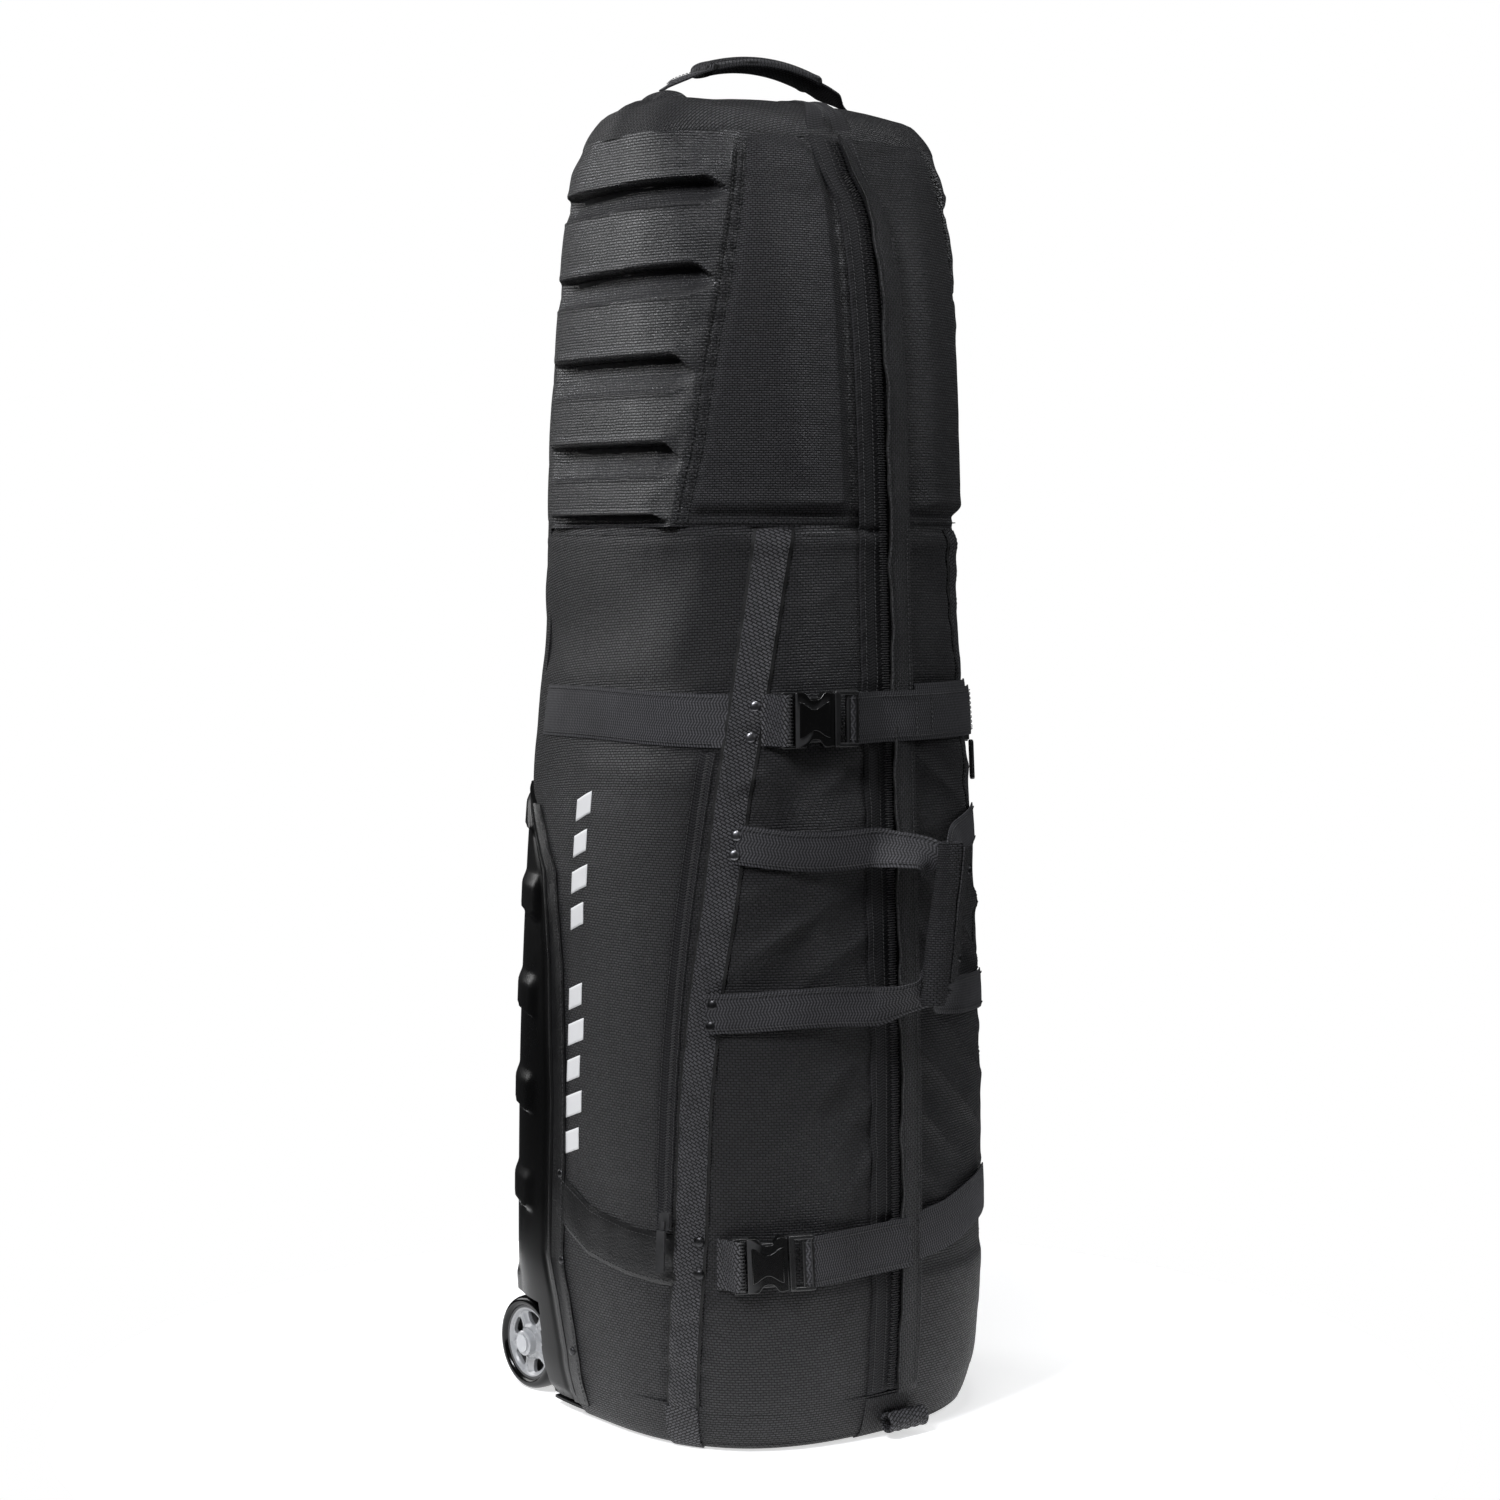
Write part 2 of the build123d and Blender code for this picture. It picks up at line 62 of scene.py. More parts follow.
# =====================================================================
# the body's outer surface, the same numbers as the frame's (millimetres)
# =====================================================================
Z = np.array([0, 60, 150, 300, 521, 700, 786, 946, 1087, 1182, 1240, 1266, 1280, 1285], float)
HALF_W = [190, 204, 208, 206, 198, 184, 176, 176, 176, 174, 168, 157, 122, 50]
FRONT = [196, 212, 217, 216, 209, 202, 198, 193, 182, 163, 143, 122, 88, 38]
BACK = [188, 200, 206, 206, 204, 200, 198, 190, 164, 142, 126, 108, 78, 32]
N_FRONT = [2.6, 2.6, 2.6, 2.6, 2.6, 2.6, 2.6, 2.6, 2.6, 2.6, 2.6, 2.5, 2.3, 2.0]
N_BACK = [3.4, 3.4, 3.4, 3.4, 3.3, 3.2, 3.1, 3.0, 2.8, 2.7, 2.6, 2.5, 2.3, 2.0]


def _slopes(Y):
    Y = np.asarray(Y, float)
    h = np.diff(Z)
    d = np.diff(Y) / h
    m = np.zeros(len(Z))
    for i in range(1, len(Z) - 1):
        if d[i - 1] * d[i] > 0:
            w1 = 2 * h[i] + h[i - 1]
            w2 = h[i] + 2 * h[i - 1]
            m[i] = (w1 + w2) / (w1 / d[i - 1] + w2 / d[i])
    m[0], m[-1] = d[0], d[-1]
    return Y, h, m


_T = [_slopes(q) for q in (HALF_W, FRONT, BACK, N_FRONT, N_BACK)]


def pchip(k, x):
    Y, h, m = _T[k]
    x = np.clip(np.asarray(x, float), Z[0], Z[-1])
    i = np.clip(np.searchsorted(Z, x, side="right") - 1, 0, len(Z) - 2)
    t = (x - Z[i]) / h[i]
    return Y[i] * (1 + 2 * t) * (1 - t) ** 2 + m[i] * h[i] * t * (1 - t) ** 2 + Y[i + 1] * t * t * (3 - 2 * t) + m[i + 1] * h[i] * t * t * (t - 1)


def surf(ph, z, off=0.0):
    ph, z = np.broadcast_arrays(np.asarray(ph, float), np.asarray(z, float))
    t = np.radians(ph)
    c, s = np.cos(t), np.sin(t)
    a, f, b, nf, nb = (pchip(k, z) for k in range(5))
    d = np.where(c >= 0, f, b)
    n = np.where(c >= 0, nf, nb)
    r = ((np.abs(s) / a) ** n + (np.abs(c) / d) ** n) ** (-1 / n) + off
    return np.stack([r * s, -r * c, z], -1)


def normals(ph, z):
    ph, z = np.broadcast_arrays(np.asarray(ph, float), np.asarray(z, float))
    e = 0.5
    t = surf(ph + e, z) - surf(ph - e, z)
    v = surf(ph, np.minimum(z + 3, 1285)) - surf(ph, np.maximum(z - 3, 0))
    n = np.cross(t, v)
    n /= np.linalg.norm(n, axis=-1, keepdims=True)
    p = surf(ph, z)
    s = np.sign(n[..., 0] * p[..., 0] + n[..., 1] * p[..., 1] + 1e-9)
    return n * s[..., None]


def solve_ph(fn, z, lo, hi, it=34):
    """angle between lo and hi where fn(point) crosses zero; fn rises from lo to hi"""
    z = np.asarray(z, float)
    a = np.full(z.shape, float(lo))
    b = np.full(z.shape, float(hi))
    for _ in range(it):
        m = (a + b) / 2
        up = fn(surf(m, z)) < 0
        a = np.where(up, m, a)
        b = np.where(up, b, m)
    return (a + b) / 2


def ph_x(x, z):
    z = np.asarray(z, float)
    x = np.broadcast_to(np.asarray(x, float), z.shape)
    return solve_ph(lambda P: P[..., 0] - x, z, -80, 80)


def ph_y(y, z, side=-1):
    z = np.asarray(z, float)
    return side * solve_ph(lambda P: P[..., 1] - y, z, 2, 88)


def table(xs, ys, x):
    return np.interp(x, xs, ys)


def sstep(a, b, x):
    t = np.clip((np.asarray(x, float) - a) / (b - a), 0, 1)
    return t * t * (3 - 2 * t)


def vnoise(p, seed=0):
    """smooth value noise in -1..1, the same every run"""
    p = np.asarray(p, float)
    i = np.floor(p).astype(np.int64)
    f = p - i
    u = f * f * (3 - 2 * f)

    def h(dx, dy, dz):
        n = ((i[..., 0] + dx) * 73856093) ^ ((i[..., 1] + dy) * 19349663) ^ ((i[..., 2] + dz) * 83492791) ^ (seed * 2654435)
        n = (n & 0x7FFFFFFF)
        n = (n * 1103515245 + 12345) & 0x7FFFFFFF
        n = (n ^ (n >> 13)) * 1274126177 & 0x7FFFFFFF
        return n / 0x3FFFFFFF - 1.0

    def L(a, b, t):
        return a + (b - a) * t

    x0 = L(L(h(0, 0, 0), h(1, 0, 0), u[..., 0]), L(h(0, 1, 0), h(1, 1, 0), u[..., 0]), u[..., 1])
    x1 = L(L(h(0, 0, 1), h(1, 0, 1), u[..., 0]), L(h(0, 1, 1), h(1, 1, 1), u[..., 0]), u[..., 1])
    return L(x0, x1, u[..., 2])


def fbm(p, scale, seed=0, octaves=3, stretch=(1, 1, 1)):
    q = np.asarray(p, float) / scale * np.asarray(stretch, float)
    v, a = 0, 1
    for k in range(octaves):
        v = v + a * vnoise(q * 2 ** k + 17.3 * k, seed + k)
        a *= 0.5
    return v / 1.75


# =====================================================================
# materials
# =====================================================================
def new_mat(name):
    m = bpy.data.materials.new(name)
    m.use_nodes = True
    nt = m.node_tree
    nt.nodes.clear()
    out = nt.nodes.new("ShaderNodeOutputMaterial")
    b = nt.nodes.new("ShaderNodeBsdfPrincipled")
    nt.links.new(b.outputs[0], out.inputs[0])
    return m, nt, b


class G:
    def __init__(self, nt):
        self.nt = nt

    def n(self, kind, **kw):
        x = self.nt.nodes.new(kind)
        for k, v in kw.items():
            if k.startswith("i_"):
                x.inputs[k[2:]].default_value = v
            else:
                setattr(x, k, v)
        return x

    def l(self, a, b):
        self.nt.links.new(a, b)

    def math(self, op, a, b=None, clamp=False):
        x = self.nt.nodes.new("ShaderNodeMath")
        x.operation = op
        x.use_clamp = clamp
        for i, v in enumerate((a, b)):
            if v is None:
                continue
            if isinstance(v, (int, float)):
                x.inputs[i].default_value = v
            else:
                self.l(v, x.inputs[i])
        return x.outputs[0]

    def ramp(self, fac, stops):
        x = self.nt.nodes.new("ShaderNodeValToRGB")
        e = x.color_ramp.elements
        while len(e) > 1:
            e.remove(e[0])
        e[0].position, e[0].color = stops[0][0], (*stops[0][1], 1)
        for p, c in stops[1:]:
            q = e.new(p)
            q.color = (*c, 1)
        self.l(fac, x.inputs[0])
        return x.outputs[0]

    def mixc(self, fac, a, b, blend="MIX"):
        x = self.nt.nodes.new("ShaderNodeMix")
        x.data_type = "RGBA"
        x.blend_type = blend
        for s, v in ((x.inputs[0], fac), (x.inputs[6], a), (x.inputs[7], b)):
            if isinstance(v, (int, float)):
                s.default_value = v
            elif isinstance(v, tuple):
                s.default_value = (*v, 1)
            else:
                self.l(v, s)
        return x.outputs[2]

    def mapping(self, vec, scale=(1, 1, 1), rot=(0, 0, 0), loc=(0, 0, 0)):
        x = self.nt.nodes.new("ShaderNodeMapping")
        x.inputs["Scale"].default_value = scale
        x.inputs["Rotation"].default_value = rot
        x.inputs["Location"].default_value = loc
        self.l(vec, x.inputs[0])
        return x.outputs[0]


def grey(v, tint=(1.0, 0.985, 1.08)):
    return tuple(v * t for t in tint)


def fabric(name, pitch=4.2, dark=0.0045, light=0.030, rough=0.62, sheen=0.03, bump=0.5, rot=0.0, spec=0.55):
    """Heavy woven fabric. The map 'fab' is in metres along the cloth."""
    m, nt, b = new_mat(name)
    g = G(nt)
    uv = g.n("ShaderNodeUVMap", uv_map="fab").outputs[0]
    k = 1000.0 / pitch
    v = g.mapping(uv, scale=(k, k, k), rot=(0, 0, rot))
    wob = g.n("ShaderNodeTexNoise", i_Scale=0.35, i_Detail=2.0)
    g.l(v, wob.inputs["Vector"])
    vv = g.n("ShaderNodeVectorMath", operation="MULTIPLY_ADD")
    g.l(wob.outputs["Color"], vv.inputs[0])
    vv.inputs[1].default_value = (0.30, 0.30, 0)
    g.l(v, vv.inputs[2])
    br = g.n("ShaderNodeTexBrick", offset=0.5, i_Scale=1.0)
    br.inputs["Color1"].default_value = (1, 1, 1, 1)
    br.inputs["Color2"].default_value = (0.80, 0.80, 0.80, 1)
    br.inputs["Mortar"].default_value = (0, 0, 0, 1)
    br.inputs["Mortar Size"].default_value = 0.16
    br.inputs["Mortar Smooth"].default_value = 1.0
    br.inputs["Bias"].default_value = 0.0
    br.inputs["Brick Width"].default_value = 1.0
    br.inputs["Row Height"].default_value = 0.5
    g.l(vv.outputs[0], br.inputs["Vector"])
    weave = br.outputs["Color"]
    # threads inside each float of the weave
    th = g.n("ShaderNodeTexWave", wave_type="BANDS", bands_direction="X", i_Scale=2.6, i_Distortion=0.6)
    g.l(vv.outputs[0], th.inputs["Vector"])
    # slow variation: handling marks, dust and a slightly faded look
    co = g.n("ShaderNodeTexCoord").outputs["Object"]
    big = g.n("ShaderNodeTexNoise", i_Scale=7.0, i_Detail=4.0, i_Roughness=0.6)
    g.l(co, big.inputs["Vector"])
    sp = g.n("ShaderNodeTexNoise", i_Scale=520.0, i_Detail=2.0)
    g.l(co, sp.inputs["Vector"])
    bigv = g.math("MULTIPLY_ADD", big.outputs[0], 0.8)
    nt.nodes[-1].inputs[2].default_value = 0.6
    t = g.math("MULTIPLY", weave, bigv)
    spk = g.ramp(sp.outputs[0], [(0.40, (0.80,) * 3), (0.72, (1.25,) * 3)])
    t = g.math("MULTIPLY", t, spk, clamp=True)
    # base colour from near-black gaps to bright floats: partly the threads' own tone, partly painted glints of light on
    # the threads
    col = g.ramp(t, [(0.0, grey(dark)), (0.26, grey(dark * 1.6)), (0.50, grey(light * 0.40)), (0.95, grey(light))])
    g.l(col, b.inputs["Base Color"])
    rr = g.math("MULTIPLY_ADD", big.outputs[0], 0.22)
    nt.nodes[-1].inputs[2].default_value = rough + 0.33
    # the gaps between the floats don't shine
    g.l(g.math("SUBTRACT", rr, g.math("MULTIPLY", t, 0.45), clamp=True), b.inputs["Roughness"])
    b.inputs["Sheen Weight"].default_value = sheen
    b.inputs["Sheen Roughness"].default_value = 0.45
    b.inputs["Sheen Tint"].default_value = (0.75, 0.78, 0.85, 1)
    b.inputs["Specular IOR Level"].default_value = 0.36 * spec
    hb = g.math("MULTIPLY_ADD", th.outputs["Fac"], 0.25)
    g.l(weave, nt.nodes[-1].inputs[2])
    bp = g.n("ShaderNodeBump", i_Strength=bump, i_Distance=0.0009)
    g.l(hb, bp.inputs["Height"])
    b2 = g.n("ShaderNodeBump", i_Strength=0.35, i_Distance=0.004)
    g.l(big.outputs[0], b2.inputs["Height"])
    g.l(bp.outputs[0], b2.inputs["Normal"])
    g.l(b2.outputs[0], b.inputs["Normal"])
    return m


def webbing(name, dark=0.010, light=0.040, pitch=2.3, rough=0.5, sheen=0.35):
    """Woven strap: fine chevron ribs across, a firmer edge. u runs along, v across, in metres."""
    m, nt, b = new_mat(name)
    g = G(nt)
    uv = g.n("ShaderNodeUVMap", uv_map="fab").outputs[0]
    sx = g.n("ShaderNodeSeparateXYZ")
    g.l(uv, sx.inputs[0])
    k = 1000.0 / pitch
    zig = g.math("PINGPONG", g.math("MULTIPLY", sx.outputs[1], k * 0.5), 1.0)
    ph = g.math("ADD", g.math("MULTIPLY", sx.outputs[0], k), g.math("MULTIPLY", zig, 0.9))
    w1 = g.math("PINGPONG", ph, 0.5)
    w2 = g.math("PINGPONG", g.math("MULTIPLY", sx.outputs[1], k * 1.15), 0.5)
    wv = g.math("MULTIPLY", w1, g.math("ADD", w2, 0.5))
    co = g.n("ShaderNodeTexCoord").outputs["Object"]
    big = g.n("ShaderNodeTexNoise", i_Scale=11.0, i_Detail=3.0)
    g.l(co, big.inputs["Vector"])
    sp = g.n("ShaderNodeTexNoise", i_Scale=700.0, i_Detail=1.0)
    g.l(co, sp.inputs["Vector"])
    t = g.math("MULTIPLY", g.math("MULTIPLY", wv, 2.0), g.math("ADD", big.outputs[0], 0.25))
    t = g.math("MULTIPLY", t, g.math("ADD", sp.outputs[0], 0.5), clamp=True)
    g.l(g.ramp(t, [(0.0, grey(dark)), (1.0, grey(light))]), b.inputs["Base Color"])
    rr = g.math("MULTIPLY_ADD", big.outputs[0], 0.2)
    nt.nodes[-1].inputs[2].default_value = rough + 0.22
    g.l(g.math("SUBTRACT", rr, g.math("MULTIPLY", wv, 0.45), clamp=True), b.inputs["Roughness"])
    b.inputs["Sheen Weight"].default_value = sheen
    b.inputs["Sheen Roughness"].default_value = 0.4
    b.inputs["Sheen Tint"].default_value = (0.8, 0.82, 0.88, 1)
    b.inputs["Specular IOR Level"].default_value = 0.34
    bp = g.n("ShaderNodeBump", i_Strength=0.55, i_Distance=0.0007)
    g.l(wv, bp.inputs["Height"])
    g.l(bp.outputs[0], b.inputs["Normal"])
    return m


def plastic(name, base=0.012, rough=0.42, grain=0.25, scale=900.0, coat=0.0, tint=(1, 1, 1.02), wear_and_glint=0.02, spec=0.5):
    """Moulded plastic with fine spark-erosion grain, paler on its edges: partly rubbed wear, partly a painted highlight
    along the bevels.
    """
    m, nt, b = new_mat(name)
    g = G(nt)
    co = g.n("ShaderNodeTexCoord").outputs["Object"]
    n1 = g.n("ShaderNodeTexNoise", i_Scale=scale, i_Detail=2.0)
    g.l(co, n1.inputs["Vector"])
    n2 = g.n("ShaderNodeTexNoise", i_Scale=14.0, i_Detail=5.0, i_Roughness=0.65)
    g.l(co, n2.inputs["Vector"])
    ge = g.n("ShaderNodeNewGeometry")
    # paler edges: partly rubbed wear, partly a painted highlight where light catches the bevels
    edge = g.ramp(ge.outputs["Pointiness"], [(0.50, (0, 0, 0)), (0.60, (1, 1, 1))])
    e2 = g.math("MULTIPLY", edge, g.math("MULTIPLY", n2.outputs[0], 1.2), clamp=True)
    c = g.mixc(e2, grey(base, tint), grey(base + wear_and_glint, tint))
    g.l(c, b.inputs["Base Color"])
    rr = g.math("MULTIPLY_ADD", n2.outputs[0], 0.22)
    nt.nodes[-1].inputs[2].default_value = rough - 0.11
    g.l(rr, b.inputs["Roughness"])
    b.inputs["Specular IOR Level"].default_value = spec
    b.inputs["Coat Weight"].default_value = coat
    bp = g.n("ShaderNodeBump", i_Strength=grain, i_Distance=0.0003)
    g.l(n1.outputs[0], bp.inputs["Height"])
    g.l(bp.outputs[0], b.inputs["Normal"])
    return m


def leatherette(name, base=0.012):
    m, nt, b = new_mat(name)
    g = G(nt)
    co = g.n("ShaderNodeTexCoord").outputs["Object"]
    vo = g.n("ShaderNodeTexVoronoi", i_Scale=620.0, feature="SMOOTH_F1")
    g.l(co, vo.inputs["Vector"])
    n2 = g.n("ShaderNodeTexNoise", i_Scale=30.0, i_Detail=4.0)
    g.l(co, n2.inputs["Vector"])
    c = g.mixc(n2.outputs[0], grey(base * 0.6), grey(base * 1.7))
    g.l(c, b.inputs["Base Color"])
    rr = g.math("MULTIPLY_ADD", n2.outputs[0], 0.25)
    nt.nodes[-1].inputs[2].default_value = 0.30
    b.inputs["Specular IOR Level"].default_value = 0.55
    g.l(rr, b.inputs["Roughness"])
    bp = g.n("ShaderNodeBump", i_Strength=0.6, i_Distance=0.0006, invert=True)
    g.l(vo.outputs[0], bp.inputs["Height"])
    g.l(bp.outputs[0], b.inputs["Normal"])
    return m


def metal(name, col=(0.4, 0.4, 0.42), rough=0.3, metallic=1.0, scale=300):
    m, nt, b = new_mat(name)
    g = G(nt)
    co = g.n("ShaderNodeTexCoord").outputs["Object"]
    n1 = g.n("ShaderNodeTexNoise", i_Scale=scale, i_Detail=3.0)
    g.l(co, n1.inputs["Vector"])
    c = g.mixc(n1.outputs[0], tuple(v * 0.8 for v in col), tuple(v * 1.15 for v in col))
    g.l(c, b.inputs["Base Color"])
    rr = g.math("MULTIPLY_ADD", n1.outputs[0], 0.25)
    nt.nodes[-1].inputs[2].default_value = rough - 0.1
    g.l(rr, b.inputs["Roughness"])
    b.inputs["Metallic"].default_value = metallic
    return m


# the light values brighten the weave's floats, partly with painted thread glints
M_FAB = fabric("ripstop", pitch=5.2, dark=0.0006, light=0.027, rough=0.32, sheen=0.0, bump=0.9, spec=1.15)
M_PAD = fabric("ripstop_pad", pitch=4.4, dark=0.0008, light=0.040, bump=0.9, spec=0.85, rough=0.40, sheen=0.0)
M_RIB = fabric("ripstop_rib", pitch=5.4, dark=0.0008, light=0.032, spec=2.0, rough=0.25, sheen=0.0, bump=1.0)
M_WEB = webbing("webbing", dark=0.0010, light=0.12, pitch=3.0, sheen=0.015)
M_WEB2 = fabric("webbing_coarse", pitch=5.6, dark=0.0006, light=0.075, rough=0.33, sheen=0.0, bump=0.8, rot=math.radians(62), spec=1.0)
M_BIND = leatherette("leatherette", base=0.0032)
M_SHELL = plastic("shell_moulded", base=0.0018, rough=0.30, grain=0.30, scale=650.0, wear_and_glint=0.010, spec=0.13)
# the buckles' strong edge paleness is a painted highlight along the bevels
M_BUCKLE = plastic("buckle_moulded", base=0.0022, rough=0.24, grain=0.10, scale=1200.0, wear_and_glint=0.07, spec=0.50)
M_COIL = plastic("coil_nylon", base=0.035, rough=0.30, grain=0.1, wear_and_glint=0.02)
M_TAPE = webbing("zip_tape", dark=0.0016, light=0.045, pitch=2.8, rough=0.6, sheen=0.02)
M_LINING = fabric("lining", pitch=2.4, dark=0.012, light=0.05, rough=0.75, sheen=0.03, bump=0.25)
M_RIVET = metal("rivet_lacquer", col=(0.20, 0.20, 0.21), rough=0.32)
M_RIVET_D = metal("rivet_dark", col=(0.05, 0.05, 0.052), rough=0.35)
M_TYRE = plastic("tyre_pu", base=0.0018, rough=0.17, grain=0.05, coat=0.0, wear_and_glint=0.0, spec=0.30)
M_HUB = plastic("hub_silver", base=0.33, rough=0.27, grain=0.12, tint=(0.98, 1.0, 1.03), wear_and_glint=0.25, spec=1.0)
M_HUB_D = plastic("hub_inner", base=0.05, rough=0.5, grain=0.12, wear_and_glint=0.02)
M_STEEL = metal("axle_steel_m", col=(0.55, 0.55, 0.56), rough=0.28)
# near-black material that paints shadow lines along the trims' edges
M_PAINTED_SHADE = plastic("painted_shade_line", base=0.003, rough=0.8, grain=0.1, wear_and_glint=0.0)
M_THREAD = plastic("thread", base=0.022, rough=0.6, grain=0.2, wear_and_glint=0.02)
M_THREAD_L = plastic("thread_light", base=0.16, rough=0.5, grain=0.2, wear_and_glint=0.05)
M_MARK = plastic("print_white", base=0.78, rough=0.55, grain=0.4, scale=1500, tint=(1, 1, 1), wear_and_glint=0.02)

# =====================================================================
# mesh helpers
# =====================================================================
MM = 0.001
PIECES = []


def make(name, verts, faces, mats, mat_idx=None, uvs=None, smooth=True, body=None, sharp=None):
    me = bpy.data.meshes.new(name)
    verts = np.asarray(verts, float) * MM
    me.from_pydata([tuple(v) for v in verts], [], [tuple(int(i) for i in f) for f in faces])
    for mt in mats if isinstance(mats, (list, tuple)) else [mats]:
        me.materials.append(mt)
    if mat_idx is not None:
        me.polygons.foreach_set("material_index", np.asarray(mat_idx, np.int32))
    me.polygons.foreach_set("use_smooth", np.full(len(me.polygons), smooth))
    if uvs is None:
        uvs = np.asarray([[v[0] + v[1], v[2]] for v in verts]) * 1000
    lay = me.uv_layers.new(name="fab")
    idx = np.empty(len(me.loops), np.int32)
    me.loops.foreach_get("vertex_index", idx)
    lay.data.foreach_set("uv", (np.asarray(uvs, float)[idx] * MM).astype(np.float32).ravel())
    me.update()
    if sharp is not None:
        me.set_sharp_from_angle(angle=math.radians(sharp))
    o = bpy.data.objects.new(name, me)
    bpy.context.collection.objects.link(o)
    if body:
        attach(o, body)
    PIECES.append(o)
    return o


def slab(name, P, N, out, inn, mats, uv=None, body=None, flip=False, close_u=False, sharp=50, lining=False):
    """Closed sheet from a grid of points P (rows, cols, 3) and normals N, between two offsets (arrays or numbers)."""
    r, c = P.shape[:2]
    out = np.broadcast_to(np.asarray(out, float), (r, c))
    inn = np.broadcast_to(np.asarray(inn, float), (r, c))
    A = P + N * out[..., None]
    B = P + N * inn[..., None]
    V = np.concatenate([A.reshape(-1, 3), B.reshape(-1, 3)])
    if uv is None:
        du = np.linalg.norm(np.diff(P, axis=1), axis=-1)
        u = np.concatenate([np.zeros((r, 1)), np.cumsum(du, 1)], 1)
        u = u - u[:, c // 2:c // 2 + 1]
        dv = np.linalg.norm(np.diff(P, axis=0), axis=-1)
        v = np.concatenate([np.zeros((1, c)), np.cumsum(dv, 0)], 0)
        uv = np.stack([u, v], -1)
    UV = np.concatenate([uv.reshape(-1, 2), uv.reshape(-1, 2)])
    n = r * c
    i = np.arange(n).reshape(r, c)
    q = lambda a, b, c_, d: np.stack([a, b, c_, d], -1).reshape(-1, 4)
    F = [q(i[:-1, :-1], i[:-1, 1:], i[1:, 1:], i[1:, :-1])]
    Mi = [np.zeros(len(F[0]), int)]
    F.append(q(i[:-1, :-1] + n, i[1:, :-1] + n, i[1:, 1:] + n, i[:-1, 1:] + n))
    Mi.append(np.full(len(F[1]), 1 if lining else 0))
    rim = [q(i[0, 1:], i[0, :-1], i[0, :-1] + n, i[0, 1:] + n), q(i[-1, :-1], i[-1, 1:], i[-1, 1:] + n, i[-1, :-1] + n)]
    rim += [q(i[:-1, 0], i[1:, 0], i[1:, 0] + n, i[:-1, 0] + n), q(i[1:, -1], i[:-1, -1], i[:-1, -1] + n, i[1:, -1] + n)]
    for f in rim:
        F.append(f)
        Mi.append(np.zeros(len(f), int))
    F = np.concatenate(F)
    if flip:
        F = F[:, ::-1]
    return make(name, V, F, mats, np.concatenate(Mi), UV, body=body, sharp=sharp)


def tube(path, r, seg=8, closed=False, squash=1.0):
    """verts and faces of a tube along points; r a number or one per point"""
    P = np.asarray(path, float)
    n = len(P)
    T = np.gradient(P, axis=0) if not closed else np.roll(P, -1, 0) - np.roll(P, 1, 0)
    T /= np.linalg.norm(T, axis=1, keepdims=True) + 1e-12
    up = np.array([0, 0, 1.0])
    if abs(T[0] @ up) > 0.9:
        up = np.array([0, 1.0, 0])
    X = np.cross(up, T[0])
    X /= np.linalg.norm(X)
    V = []
    rr = np.broadcast_to(np.asarray(r, float), (n,))
    for k in range(n):
        X = X - T[k] * (X @ T[k])
        X /= np.linalg.norm(X) + 1e-12
        Y = np.cross(T[k], X)
        a = np.linspace(0, 2 * pi, seg, endpoint=False)
        V.append(P[k] + rr[k] * (np.cos(a)[:, None] * X + squash * np.sin(a)[:, None] * Y))
    V = np.concatenate(V)
    F = []
    m = n if closed else n - 1
    for k in range(m):
        a, b = k * seg, ((k + 1) % n) * seg
        for j in range(seg):
            j2 = (j + 1) % seg
            F.append((a + j, a + j2, b + j2, b + j))
    if not closed:
        F.append(tuple(range(seg))[::-1])
        F.append(tuple((n - 1) * seg + j for j in range(seg)))
    return V, F


def merge(parts):
    V, F, o = [], [], 0
    for v, f in parts:
        V.append(v)
        F += [tuple(i + o for i in q) for q in f]
        o += len(v)
    return np.concatenate(V), F


def stitch_run(P, N, pitch=4.6, length=3.1, r=0.42, lift=0.25):
    """small thread stitches along a polyline P (n,3) with normals N"""
    P, N = np.asarray(P, float), np.asarray(N, float)
    d = np.concatenate([[0], np.cumsum(np.linalg.norm(np.diff(P, axis=0), axis=1))])
    k = max(int(d[-1] / pitch), 1)
    parts = []
    s = (np.arange(k) + 0.5) * pitch
    f = lambda q: np.stack([np.interp(q, d, P[:, j]) for j in range(3)], -1)
    g = lambda q: np.stack([np.interp(q, d, N[:, j]) for j in range(3)], -1)
    hs = length / 2
    xs = np.array([-1, -0.6, 0, 0.6, 1]) * hs
    lf = np.array([-0.5, 0.75, 1.0, 0.75, -0.5]) * r
    for c in s:
        q = f(c + xs) + g(c + xs) * (lift + lf)[:, None]
        parts.append(tube(q, [r * 0.5, r, r, r, r * 0.5], 5))
    return parts


def smooth_rows(a, n=1):
    for _ in range(n):
        a = (np.roll(a, 1) + 2 * a + np.roll(a, -1)) / 4
    return a

